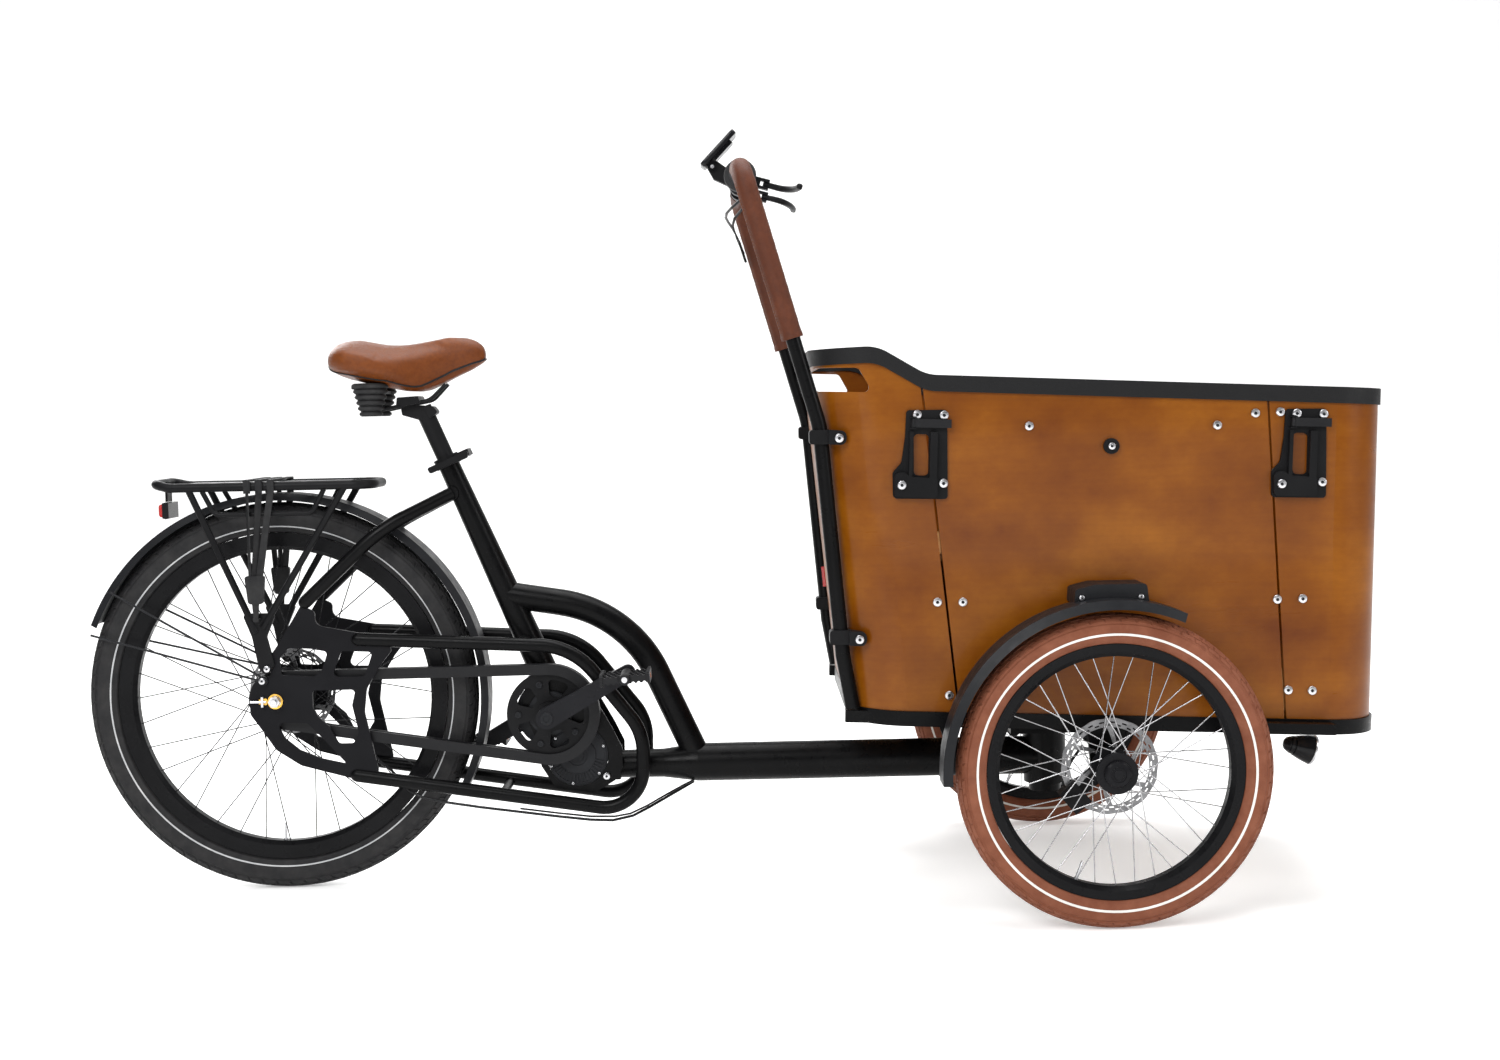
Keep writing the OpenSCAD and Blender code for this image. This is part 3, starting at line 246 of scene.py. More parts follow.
look = {
    "framePaint": paint("frame_paint", (0.0022, 0.0022, 0.0024), 0.3),
    "platePaint": paint("plate_paint", (0.005, 0.005, 0.006), 0.42),
    "rimPaint": paint("rim_paint", (0.0045, 0.0045, 0.005), 0.3),
    "smallPaint": paint("small_parts_paint", (0.006, 0.006, 0.0065), 0.4),
    "castGrey": paint("cast_grey", (0.013, 0.0135, 0.015), 0.46, 500),
    "guard": plastic("mudguard_plastic", (0.010, 0.0105, 0.012), 0.4),
    "casePlastic": plastic("case_plastic", (0.009, 0.009, 0.010), 0.42),
    "trim": plastic("rim_trim", (0.008, 0.008, 0.0085), 0.5, 500, 0.0006, 0.4),
    "cable": plastic("cable_jacket", (0.006, 0.006, 0.007), 0.34, 1500, 0.0002, 0.1),
    "gloss": plastic("gloss_plastic", (0.008, 0.008, 0.009), 0.16, 2000, 0.0001, 0.05),
    "grip": rubber("grip_rubber", (0.014, 0.014, 0.015), (0.03, 0.03, 0.03), 0.66),
    "strap": rubber("strap_rubber", (0.008, 0.008, 0.009), (0.022, 0.022, 0.022), 0.62),
    "rearTyre": rubber("rear_tyre_rubber", (0.011, 0.011, 0.012), (0.024, 0.023, 0.023), 0.66),
    "frontTyre": rubber("front_tyre_rubber", (0.145, 0.044, 0.021), (0.215, 0.075, 0.04), 0.62),
    "silver": brushed("silver_steel", (0.66, 0.66, 0.68), 0.26),
    "spokeSilver": brushed("spoke_steel", (0.42, 0.42, 0.43), 0.2),
    "spokeBlack": paint("spoke_black", (0.012, 0.012, 0.013), 0.3),
    "rotorSteel": brushed("rotor_steel", (0.2, 0.2, 0.205), 0.3, (300, 300, 300)),
    "chainSteel": brushed("chain_steel", (0.32, 0.32, 0.33), 0.36, (90, 90, 90)),
    "gold": brushed("gold_washer", (0.85, 0.5, 0.1), 0.25, (120, 120, 120)),
    "hubBlack": paint("hub_black", (0.006, 0.006, 0.007), 0.26),
    "crankGrey": paint("crank_grey", (0.009, 0.009, 0.0105), 0.3),
    "wood": plywood("stained_plywood", (0.1, 0.0225, 0.0006), (0.165, 0.0465, 0.0012),
                    (0.255, 0.085, 0.004), 0.09),
    "innerWood": plywood("inner_plywood", (0.2, 0.09, 0.03), (0.32, 0.16, 0.06), (0.42, 0.24, 0.1), 0.15),
    "saddleLeather": leather("saddle_leather", (0.148, 0.037, 0.004), (0.11, 0.0255, 0.0022), 0.36, 900),
    "sleeveLeather": leather("sleeve_leather", (0.1, 0.027, 0.0105), (0.06, 0.0155, 0.006), 0.5, 700),
    "darkThread": rubber("dark_thread", (0.1, 0.035, 0.018), (0.2, 0.08, 0.04), 0.8, 1600),
    "whiteRing": rubber("tyre_white_ring", (0.62, 0.6, 0.56), (0.74, 0.73, 0.7), 0.45),
    "greyRing": rubber("tyre_grey_ring", (0.34, 0.35, 0.36), (0.5, 0.5, 0.5), 0.4),
    "redLens": newMaterial("red_lens", (0.35, 0.008, 0.006), 0.12, coat=0.6),
    "orangeLens": newMaterial("orange_lens", (0.7, 0.16, 0.01), 0.18, coat=0.4),
    "clearLens": newMaterial("clear_lens", (0.78, 0.8, 0.82), 0.08, coat=0.8),
    "screen": newMaterial("display_glass", (0.012, 0.016, 0.02), 0.06, coat=1.0, coatRough=0.03),
}
for key, grain in (("redLens", 420), ("orangeLens", 420), ("clearLens", 300)):
    bump(look[key], [(cells(look[key], coords(look[key]), grain, "F1"), 0.5, 0.0008)])
bump(look["screen"], [(noise(look["screen"], coords(look["screen"]), 30, 2), 0.02, 0.0002)])

nodeLooks = {
    "framePaint": ["seat_tube", "main_frame", "rear_stays", "chassis", "handlebar"],
    "platePaint": ["dropout_plates"],
    "castGrey": ["motor"],
    "casePlastic": ["chain_case", "pedal_right", "pedal_left", "battery", "clip_lever_rear_right",
                    "clip_lever_rear_left", "clip_lever_front_right", "clip_lever_front_left"],
    "chainSteel": ["chain", "rear_sprocket"],
    "guard": ["rear_mudguard", "front_mudguards"],
    "smallPaint": ["rack", "rear_caliper", "seat_clamp", "seat_lever", "seatpost", "saddle_frame",
                   "chainring", "handlebar_clamps", "box_fittings", "front_calipers"],
    "strap": ["luggage_straps"],
    "redLens": ["tail_light"],
    "silver": ["axle_hardware"],
    "cable": ["frame_cables", "bar_cables"],
    "crankGrey": ["crank_arms"],
    "rimPaint": ["rear_rim", "front_rim_right", "front_rim_left"],
    "spokeBlack": ["rear_spokes"],
    "spokeSilver": ["front_spokes_right", "front_spokes_left"],
    "hubBlack": ["rear_hub"],
    "innerWood": ["box_floor", "bench"],
    "wood": ["box_rear_panel", "box_side_panels", "box_front_panel"],
    "trim": ["box_rim"],
}
for key, names in nodeLooks.items():
    for name in names:
        for s in nodes[name].material_slots:
            s.material = look[key]
print("materials ready:", len(look))


# mesh helpers

def makePiece(name, verts, faces, mats, body, faceMats=None, smooth=40):
    mesh = bpy.data.meshes.new(name)
    mesh.from_pydata([tuple(v) for v in verts], [], faces)
    for mat in mats:
        mesh.materials.append(mat)
    if faceMats:
        for face, index in zip(mesh.polygons, faceMats):
            face.material_index = index
    bm = bmesh.new()
    bm.from_mesh(mesh)
    bmesh.ops.recalc_face_normals(bm, faces=bm.faces)
    bm.to_mesh(mesh)
    bm.free()
    piece = bpy.data.objects.new(name, mesh)
    bpy.context.collection.objects.link(piece)
    mesh.shade_smooth()
    mesh.set_sharp_from_angle(angle=math.radians(smooth))
    if body:
        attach(piece, body)
    return piece


def ringFaces(rows, n):  # quads between rings of n points, with both ends closed
    faces = [(i * n + k, i * n + (k + 1) % n, (i + 1) * n + (k + 1) % n, (i + 1) * n + k)
             for i in range(rows - 1) for k in range(n)]
    return faces + [tuple(reversed(range(n))), tuple((rows - 1) * n + k for k in range(n))]


class Builder:  # gathers several closed forms into one mesh
    def __init__(self):
        self.verts, self.faces, self.mats = [], [], []

    def add(self, verts, faces, mat=0):
        base = len(self.verts)
        self.verts += [Vector(v) for v in verts]
        self.faces += [tuple(base + i for i in f) for f in faces]
        self.mats += [mat] * len(faces)

    def lathe(self, origin, axis, profile, mat=0, sides=32, closed=False):  # profile in mm
        axis = Vector(axis).normalized()
        side = axis.orthogonal().normalized()
        up = axis.cross(side)
        verts = []
        for r, h in profile:
            for k in range(sides):
                a = 2 * math.pi * k / sides
                out = side * math.cos(a) + up * math.sin(a)
                verts.append(Vector(origin) + (axis * h + out * r) / 1000)
        faces = ringFaces(len(profile), sides)
        if closed:
            last = (len(profile) - 1) * sides
            faces[-2:] = [(last + k, last + (k + 1) % sides, (k + 1) % sides, k) for k in range(sides)]
        self.add(verts, faces, mat)

    def prism(self, outline, axis, y0, y1, mat=0):  # outline in 3D on a plane, pushed along axis
        axis = Vector(axis)
        n = len(outline)
        verts = [Vector(p) + axis * y0 for p in outline] + [Vector(p) + axis * y1 for p in outline]
        faces = [tuple(reversed(range(n))), tuple(range(n, 2 * n))]
        faces += [(k, (k + 1) % n, n + (k + 1) % n, n + k) for k in range(n)]
        self.add(verts, faces, mat)

    def sweep(self, route, radius, mat=0, sides=12):  # radius may be a function of index and angle
        verts = []
        side = None
        for i, p in enumerate(route):
            t = (route[min(i + 1, len(route) - 1)] - route[max(i - 1, 0)]).normalized()
            if side is None:
                side = Vector((0, 1, 0)).cross(t) if abs(t.y) < 0.9 else Vector((0, 0, 1)).cross(t)
            side = (side - t * side.dot(t)).normalized()
            up = t.cross(side)
            for k in range(sides):
                a = 2 * math.pi * k / sides
                r = radius(i, a) if callable(radius) else radius
                verts.append(p + (side * math.cos(a) + up * math.sin(a)) * r)
        self.add(verts, ringFaces(len(route), sides), mat)

    def piece(self, name, mats, body, slotName, smooth=40):
        return makePiece(name, self.verts, self.faces, mats, body, self.mats, smooth)


# camera, light and floor

camera = {"place": (0.8374, -3.3635, 0.8562), "pitch": 0.0652, "yaw": 0.0049, "roll": -0.0212, "lens": 44.5}


def makeCamera(c):
    look3 = Vector((math.sin(c["yaw"]) * math.cos(c["pitch"]), math.cos(c["yaw"]) * math.cos(c["pitch"]),
                    -math.sin(c["pitch"])))
    right = look3.cross(Vector((0, 0, 1))).normalized()
    up = right.cross(look3)
    cr, sr = math.cos(c["roll"]), math.sin(c["roll"])
    right, up = right * cr + up * sr, up * cr - right * sr
    data = bpy.data.cameras.new("camera")
    data.lens = c["lens"]
    data.sensor_width = 36
    obj = bpy.data.objects.new("camera", data)
    m = Matrix.Identity(4)
    for row in range(3):
        m[row][0], m[row][1], m[row][2] = right[row], up[row], -look3[row]
    m.translation = Vector(c["place"]) + Vector((rearAxle.x, 0, 0))
    obj.matrix_world = m
    bpy.context.collection.objects.link(obj)
    bpy.context.scene.camera = obj


makeCamera(camera)


def areaLight(name, place, target, size, power, colour=(1, 1, 1)):
    data = bpy.data.lights.new(name, "AREA")
    data.shape = "RECTANGLE"
    data.size, data.size_y = size
    data.energy = power
    data.color = colour
    obj = bpy.data.objects.new(name, data)
    obj.location = place
    obj.rotation_euler = (Vector(target) - Vector(place)).to_track_quat("-Z", "Y").to_euler()
    bpy.context.collection.objects.link(obj)


areaLight("key_light", (-1.6, -3.4, 3.2), (0, 0, 0.5), (2.6, 2.0), 165)
areaLight("side_light", (3.4, -1.8, 2.0), (0.4, 0, 0.5), (1.2, 2.2), 60)
areaLight("top_light", (0.2, 0.4, 4.2), (0, 0, 0), (4.0, 3.0), 235)
areaLight("back_light", (-2.6, 3.2, 2.4), (0, 0, 0.6), (2.4, 1.8), 70)
areaLight("low_light", (0.2, -4.2, 0.5), (0.1, 0, 0.4), (4.5, 0.5), 16)

world = bpy.data.worlds.new("studio")
world.use_nodes = True
world.node_tree.nodes["Background"].inputs["Color"].default_value = (0.94, 0.95, 0.97, 1)
world.node_tree.nodes["Background"].inputs["Strength"].default_value = 0.2
bpy.context.scene.world = world
bpy.context.scene.view_settings.view_transform = "Standard"
bpy.context.scene.view_settings.exposure = 0.0

floorMat = newMaterial("studio_floor", (0.86, 0.86, 0.85), 0.6)
floorShader = floorMat.node_tree.nodes["Principled BSDF"].inputs
floorShader["Emission Color"].default_value = (1, 1, 1, 1)
floorShader["Emission Strength"].default_value = 0.35
floorVector = coords(floorMat)
setSocket(floorMat, "Base Color", ramp(floorMat, noise(floorMat, floorVector, 0.8, 3),
                                       [(0.3, (0.85, 0.85, 0.845)), (0.7, (0.875, 0.875, 0.87))]))
bump(floorMat, [(noise(floorMat, floorVector, 220, 3), 0.04, 0.0005)])


def makeFloor(size, rise, bend):  # flat floor that curves up into a backdrop
    rows = [(-size, 0.0), (3.2, 0.0)]
    for k in range(1, 13):
        a = math.pi / 2 * k / 12
        rows.append((3.2 + bend * math.sin(a), bend * (1 - math.cos(a))))
    rows.append((3.2 + bend, rise))
    verts = [(x, y, z) for y, z in rows for x in (-size, size)]
    faces = [(2 * k, 2 * k + 1, 2 * k + 3, 2 * k + 2) for k in range(len(rows) - 1)]
    makePiece("studio_floor", verts, faces, [floorMat], None)


makeFloor(14, 7, 2.4)
print("camera, lights and floor ready")


# tyres

def makeTyre(name, centre, t, body, mats):
    s = t["section"]
    mid = t["radius"] - s
    edge = math.degrees(math.acos((t["bead"] - mid) / s))
    profile = [(-edge, -0.0012, -1)]  # angle, height above the casing, tread row
    wall = [edge - 9, t["ring"] + 16, t["ring"] + t["ringHalf"] + 0.6, t["ring"] + t["ringHalf"],
            t["ring"] - t["ringHalf"], t["ring"] - t["ringHalf"] - 0.6, 0.5 * (t["ring"] + t["treadEdge"]),
            t["treadEdge"] + 9, t["treadEdge"] + 3]
    lift = [-0.0004, -0.0012, -0.0012, -0.0007, -0.0007, -0.0012, -0.0014, -0.0012, -0.0024]
    profile += [(-a, h, -1) for a, h in zip(wall, lift)]
    half = []
    for row, (low, high) in enumerate(t["rows"]):
        half += [(low - 0.6, row), (low + 0.9, row), (high - 0.9, row), (high + 0.6, row)]
    for k, (a, row) in reversed(list(enumerate(half))):
        profile.append((-a, 0 if k % 4 in (1, 2) else 1, row))
    for k, (a, row) in enumerate(half):
        profile.append((a, 0 if k % 4 in (1, 2) else 1, row + 10))
    profile += [(a, h, -1) for a, h in reversed(list(zip(wall, lift)))]
    profile.append((edge, -0.0012, -1))
    cuts = [0.0, t["gap"], t["gap"] + 0.05, 0.5 - 0.01, 0.5, 0.5 + t["gap"], 0.55 + t["gap"], 0.99]
    verts, faces, faceMats = [], [], []
    count = len(profile)
    for pitch in range(t["pitches"]):
        for column, cut in enumerate(cuts):
            for a, h, row in profile:
                if row < 0:
                    lifted = h
                    shear = 0.0
                else:
                    even = row % 2 == 0
                    inGap = column in ((0, 1) if even else (4, 5))
                    lifted = -t["depth"] if h == 1 or inGap else 0.0
                    shear = t["shear"] * a / 40
                theta = 2 * math.pi * (pitch + cut + shear) / t["pitches"]
                r = s + lifted
                out = mid + r * math.cos(math.radians(a))
                verts.append(centre + Vector((out * math.cos(theta), r * math.sin(math.radians(a)),
                                              out * math.sin(theta))))
    total = t["pitches"] * len(cuts)
    for column in range(total):
        nextColumn = (column + 1) % total
        for k in range(count):
            j = (k + 1) % count
            faces.append((column * count + k, nextColumn * count + k, nextColumn * count + j,
                          column * count + j))
            a = abs(profile[k][0] + profile[j][0]) / 2
            onRing = profile[k][2] < 0 and profile[j][2] < 0 and abs(a - t["ring"]) < t["ringHalf"] * 0.9
            onRing = onRing and k < count - 1
            faceMats.append(1 if onRing else 0)
    piece = makePiece(name, verts, faces, mats, body, faceMats, 32)
    return piece


frontTread = {"radius": 0.258, "section": 0.0275, "bead": 0.209, "ring": 101, "ringHalf": 4.2,
              "treadEdge": 58, "rows": [(0.8, 9), (11, 24), (26.5, 40), (42.5, 56)], "pitches": 62,
              "gap": 0.11, "shear": 0.3, "depth": 0.0016}
rearTread = {"radius": 0.353, "section": 0.030, "bead": 0.298, "ring": 116, "ringHalf": 2.6,
             "treadEdge": 60, "rows": [(0.8, 9), (11, 23), (25.5, 38), (40.5, 58)], "pitches": 84,
             "gap": 0.13, "shear": 0.34, "depth": 0.0019}
tyre = makeTyre("rear_tyre_tread", rearAxle, rearTread, "rear_wheel",
                [look["rearTyre"], look["greyRing"]])
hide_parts("rear_tyre")
for s in (-1, 1):
    tyre = makeTyre("front_tyre_tread_" + sideName[s], frontAxle[s], frontTread,
                    "front_wheel_" + sideName[s], [look["frontTyre"], look["whiteRing"]])
    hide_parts("front_tyre_" + sideName[s])
print("tyres ready")

# saddle

saddle = {"stations": [(107, 44, 947, 965), (112, 65, 939, 977), (124, 85, 932, 986), (146, 100, 927, 988),
                       (178, 102, 920, 982), (210, 94, 913, 976), (240, 79, 906, 975), (268, 57, 903, 978),
                       (300, 38, 915, 984), (330, 29, 930, 990), (360, 23, 943, 991), (378, 16, 950, 983),
                       (385, 10, 955, 973)],
          "around": 56, "between": 5, "cap": 0.006, "voxel": 0.0048}


def smoothed(rows, steps):  # Catmull-Rom through rows of numbers
    out = []
    for i in range(len(rows) - 1):
        a, b, c, d = rows[max(i - 1, 0)], rows[i], rows[i + 1], rows[min(i + 2, len(rows) - 1)]
        for k in range(steps):
            t = k / steps
            out.append([0.5 * (2 * q + (r - p) * t + (2 * p - 5 * q + 4 * r - s) * t * t
                               + (3 * q - 3 * r + s - p) * t ** 3) for p, q, r, s in zip(a, b, c, d)])
    out.append(list(rows[-1]))
    return out


def saddlePoint(row, angle, inset=0.0):
    x, halfWidth, low, high = row
    c, s = math.cos(angle), math.sin(angle)
    y = halfWidth * math.copysign(abs(c) ** 0.72, c)
    lift = 0.5 * (low + high) + 0.5 * (high - low) * math.copysign(abs(s) ** 0.68, s)
    crown = 0.06 * (high - low) * (1 - abs(y) / max(halfWidth, 1)) if s > 0 else 0
    droop = -5 * (abs(y) / max(halfWidth, 1)) ** 2 * max(0, s)
    return at(x, y * (1 - inset), lift + crown + droop - inset * 40 * s)


def loftSaddle(settings):
    rows = smoothed(settings["stations"], settings["between"])
    n = settings["around"]
    verts = [saddlePoint(r, 2 * math.pi * k / n, 0.02) for r in rows for k in range(n)]
    return verts, ringFaces(len(rows), n)


def inflate(piece, settings):  # lets the cover swell like stuffed leather
    bpy.context.view_layer.objects.active = piece
    remesh = piece.modifiers.new("remesh", "REMESH")
    remesh.mode = "VOXEL"
    remesh.voxel_size = settings["voxel"]
    bpy.ops.object.select_all(action="DESELECT")
    piece.select_set(True)
    bpy.ops.object.modifier_apply(modifier="remesh")
    start = [v.co.copy() for v in piece.data.vertices]
    cloth = piece.modifiers.new("cloth", "CLOTH")
    cloth.settings.use_pressure = True
    cloth.settings.uniform_pressure_force = 4
    cloth.settings.effector_weights.gravity = 0
    cloth.settings.quality = 4
    scene = bpy.context.scene
    for f in range(1, 21):
        scene.frame_set(f)
    bpy.ops.object.modifier_apply(modifier="cloth")
    for v, was in zip(piece.data.vertices, start):
        move = v.co - was
        if move.length > settings["cap"]:
            v.co = was + move.normalized() * settings["cap"]
    scene.frame_set(1)
    sub = piece.modifiers.new("smooth", "SUBSURF")
    sub.levels = sub.render_levels = 1


saddleVerts, saddleFaces = loftSaddle(saddle)
saddleCover = makePiece("saddle_cover", saddleVerts, saddleFaces, [look["saddleLeather"]], "saddle",
                        None, 80)
inflate(saddleCover, saddle)
saddleCover.data.shade_smooth()
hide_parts("saddle_pad")


def onSaddle(point, lift):  # nearest place on the cover, pushed out by lift
    _, place, normal, _ = saddleCover.closest_point_on_mesh(point)
    return place + normal * lift


edging = {"angle": -0.85, "radius": 0.0019}
bpy.context.view_layer.update()
welt = Builder()
edgeRows = smoothed(saddle["stations"], 9)
for s in (-1, 1):
    a = edging["angle"] if s > 0 else math.pi - edging["angle"]
    welt.sweep([onSaddle(saddlePoint(r, a), 0.0002) for r in edgeRows[3:-2]], edging["radius"], 0, 10)
welt.piece("saddle_edging", [look["casePlastic"]], "saddle", "small_black", 80)

bellows = {"centre": (182, 42, 857), "ribs": 6, "pitch": 10, "radius": 21, "grow": 2.5, "groove": 4.2}
springs = Builder()
for s in (-1, 1):
    profile = [(0.5, 0)]
    for k in range(bellows["ribs"]):
        r = bellows["radius"] + bellows["grow"] * k
        h = k * bellows["pitch"]
        low = r - bellows["groove"]
        profile += [(low, h), (r - 0.8, h + 2.2), (r, h + 4.4), (r - 0.8, h + 6.6), (low, h + 8.8)]
    profile.append((0.5, bellows["ribs"] * bellows["pitch"]))
    x, y, z = bellows["centre"]
    springs.lathe(at(x, s * y, z), (0, 0, 1), profile, 0, 40)
springs.piece("saddle_bellows", [look["grip"]], "saddle", "small_black", 60)
print("saddle ready")


# handlebar: sleeves, grip, levers, display

bar = {"y": 274, "bend": (972, 825), "top": (849, 1258), "corner": 42, "sleeveFrom": 152,
       "ends": {-1: -222, 1: 126}, "radius": 0.0172, "cuff": 0.0008, "seam": 0.0013}


def sleeveRoute(s):
    start = at(bar["bend"][0], s * bar["y"], bar["bend"][1])
    top = at(bar["top"][0], s * bar["y"], bar["top"][1])
    along = (top - start).normalized()
    inward = Vector((0, -s, 0))
    r = bar["corner"] / 1000
    first = start + along * bar["sleeveFrom"] / 1000
    arcStart = top - along * r
    route = [first + (arcStart - first) * k / 44 for k in range(44)]
    centre = arcStart + inward * r
    for k in range(13):
        a = math.pi / 2 * k / 12
        route.append(centre - inward * r * math.cos(a) + along * r * math.sin(a))
    end = Vector((top.x, bar["ends"][s] / 1000, top.z))
    last = route[-1]
    runs = 6 if s < 0 else 12
    route += [last.lerp(end, k / runs) for k in range(1, runs + 1)]
    return route


sleeves = Builder()
laces = Builder()
for s in (-1, 1):
    route = sleeveRoute(s)
    count = len(route)

    def sleeveRadius(i, a):
        seamAngle = abs(math.remainder(a - math.pi, 2 * math.pi))
        ridge = bar["seam"] * math.exp(-(seamAngle / 0.16) ** 2)
        cuff = bar["cuff"] if i < 2 or i > count - 3 else 0
        wave = 0.00025 * math.sin(i * 1.7 + s) * math.sin(2 * a + i * 0.3)
        return bar["radius"] + ridge + cuff + wave

    sleeves.sweep(route, sleeveRadius, 0, 40)
    for i in range(2, 46):
        p, q = route[i], route[i + 1]
        t = (q - p).normalized()
        back = Vector((0, 1, 0)).cross(t).normalized() * -1
        out = t.cross(back)
        for side in (-1, 1):
            a = 0.22 * side
            place = p + (back * math.cos(a) + out * math.sin(a)) * (bar["radius"] + 0.0006)
            laces.sweep([place, place + t * 0.0012, place + t * 0.0038, place + t * 0.005],
                        lambda k, angle: (0.0001, 0.0006, 0.0006, 0.0001)[k], 0, 6)
piece = sleeves.piece("leather_sleeves", [look["sleeveLeather"]], "front_assembly", "sleeve_leather", 70)
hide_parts("grip_sleeves")
laces.piece("sleeve_laces", [look["darkThread"]], "front_assembly", "sleeve_leather", 70)

grip = {"from": -216, "ribs": 10, "pitch": 6.2, "radius": 17.5, "groove": 16.2}
twist = Builder()
profile = [(13.4, 0), (16.8, 0), (grip["radius"], 1.2)]
for k in range(grip["ribs"]):
    h = 3 + k * grip["pitch"]
    profile += [(grip["groove"], h), (grip["groove"], h + 1.4), (grip["radius"], h + 2),
                (grip["radius"], h + 5.2)]
profile += [(19.2, 66.5), (19.6, 70.5), (18.5, 71.8), (25.2, 72.5), (27.6, 75.2), (28, 80), (28, 93),
            (27.2, 97.5), (24.6, 99.8), (24.2, 102.5), (20.5, 103.8), (13.4, 104)]
twist.lathe(at(bar["top"][0], grip["from"], bar["top"][1]), (0, 1, 0), profile, 0, 48, True)
place = at(bar["top"][0], grip["from"] + 82, bar["top"][1])
for a in (0.4, 2.5, 4.6):
    head = place + Vector((math.cos(a) * 0.0225, 0.0192, math.sin(a) * 0.0225))
    twist.lathe(head, (0, 1, 0), [(2.2, 0), (2.2, 1.2), (1.2, 1.6)], 1, 12)
piece = twist.piece("twist_grip_body", [look["grip"], look["silver"]], "twist_grip", "case_plastic", 35)
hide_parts("twist_grip")

lever = {"pivot": (893.43, 95, 1246.09), "tilt": math.radians(15),
         "path": [(-4.5, 0), (6, -1), (18, -3), (28, -2), (38, 8), (48, 28), (54, 52), (57, 74), (58, 88),
                  (58, 93), (58, 96)], "wide": [4.6, 5, 5.2, 5.4, 5.4, 5.2, 5, 5, 5.2, 4.6, 2.4],
         "thick": [4.6, 5, 5.2, 5.4, 5.4, 5.2, 5, 5, 5.2, 4.6, 2.4]}


def leverPlace(s, x, y, z):
    c, n = math.cos(lever["tilt"]), math.sin(lever["tilt"])
    px, py, pz = lever["pivot"]
    return at(px + x * c + z * n, s * (py + y), pz - x * n + z * c)


for s in (-1, 1):
    blade = Builder()
    rows = smoothed([(x, y, w, t) for (x, y), w, t in zip(lever["path"], lever["wide"], lever["thick"])], 4)
    verts = []
    n = 20
    for i, row in enumerate(rows):
        x, y, w, t = row
        nextRow = rows[min(i + 1, len(rows) - 1)]
        before = rows[max(i - 1, 0)]
        d = Vector((nextRow[0] - before[0], nextRow[1] - before[1])).normalized()
        for k in range(n):
            a = 2 * math.pi * k / n
            u = w * math.copysign(abs(math.cos(a)) ** 0.7, math.cos(a))
            v = t * math.copysign(abs(math.sin(a)) ** 0.7, math.sin(a))
            verts.append(leverPlace(s, x + d.y * u, y - d.x * u, v))
    blade.add(verts, ringFaces(len(rows), n))
    piece = blade.piece("lever_blade_" + sideName[s], [look["smallPaint"]], "brake_lever_" + sideName[s],
                        "small_black", 60)
    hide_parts("brake_lever_" + sideName[s])

display = {"pivot": (800, 0, 1290), "lean": math.radians(46), "long": (-12, 72), "half": 32}


def displayPlace(x, y, z):
    c, n = math.cos(display["lean"]), math.sin(display["lean"])
    px, py, pz = display["pivot"]
    return at(px + x * c - z * n, py + y, pz + x * n + z * c)


def roundedCorners(x0, x1, y0, y1, r, steps):  # flat outline with rounded corners
    out = []
    for cx, cy, start in ((x1 - r, y1 - r, 0), (x0 + r, y1 - r, 90), (x0 + r, y0 + r, 180),
                          (x1 - r, y0 + r, 270)):
        for k in range(steps + 1):
            a = math.radians(start + 90 * k / steps)
            out.append((cx + r * math.cos(a), cy + r * math.sin(a)))
    return out


def roundedRect(x0, x1, half, r, z, steps=6):
    return [displayPlace(x, y, z) for x, y in roundedCorners(x0, x1, -half, half, r, steps)]


faceAxis = (displayPlace(0, 0, 1) - displayPlace(0, 0, 0)).normalized()
x0, x1 = display["long"]
layers = [(1.5, 8.0), (0.3, 9.2), (0, 11), (0, 16.5), (0.5, 17.6), (1.6, 18)]
slab = Builder()
rings = [roundedRect(x0 + d, x1 - d, display["half"] - d, 7, z) for d, z in layers]
slab.add([p for ring in rings for p in ring], ringFaces(len(rings), len(rings[0])))
slab.prism(roundedRect(4, 66, 26, 3, 18), faceAxis, -0.0004, 0.0005, 1)
for y in (-16, 0, 16):
    slab.lathe(displayPlace(-3.5, y, 17.8), faceAxis, [(4.2, 0), (4.2, 0.8), (3.4, 1.3), (0.4, 1.4)], 2, 16)
slab.prism(roundedRect(8, 56, 20, 5, 8), faceAxis, -0.006, 0.0005, 0)
for y in (-14, 9):
    cheek = [displayPlace(-6, y, -5), displayPlace(-3, y, -7), displayPlace(4, y, -7),
             displayPlace(8, y, -3), displayPlace(9, y, 9), displayPlace(-7, y, 9)]
    slab.prism(cheek, (0, 1, 0), 0, 0.005, 0)
slab.lathe(displayPlace(0, -14.8, 0), (0, 1, 0), [(0.4, 0), (3.5, 0.2), (3.6, 29.6), (0.4, 29.8)], 3, 16)
piece = slab.piece("display_unit", [look["gloss"], look["screen"], look["grip"], look["silver"]], "display",
                   "lamp_black", 35)
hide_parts("display")
print("handlebar pieces ready")


# headlamp and reflectors

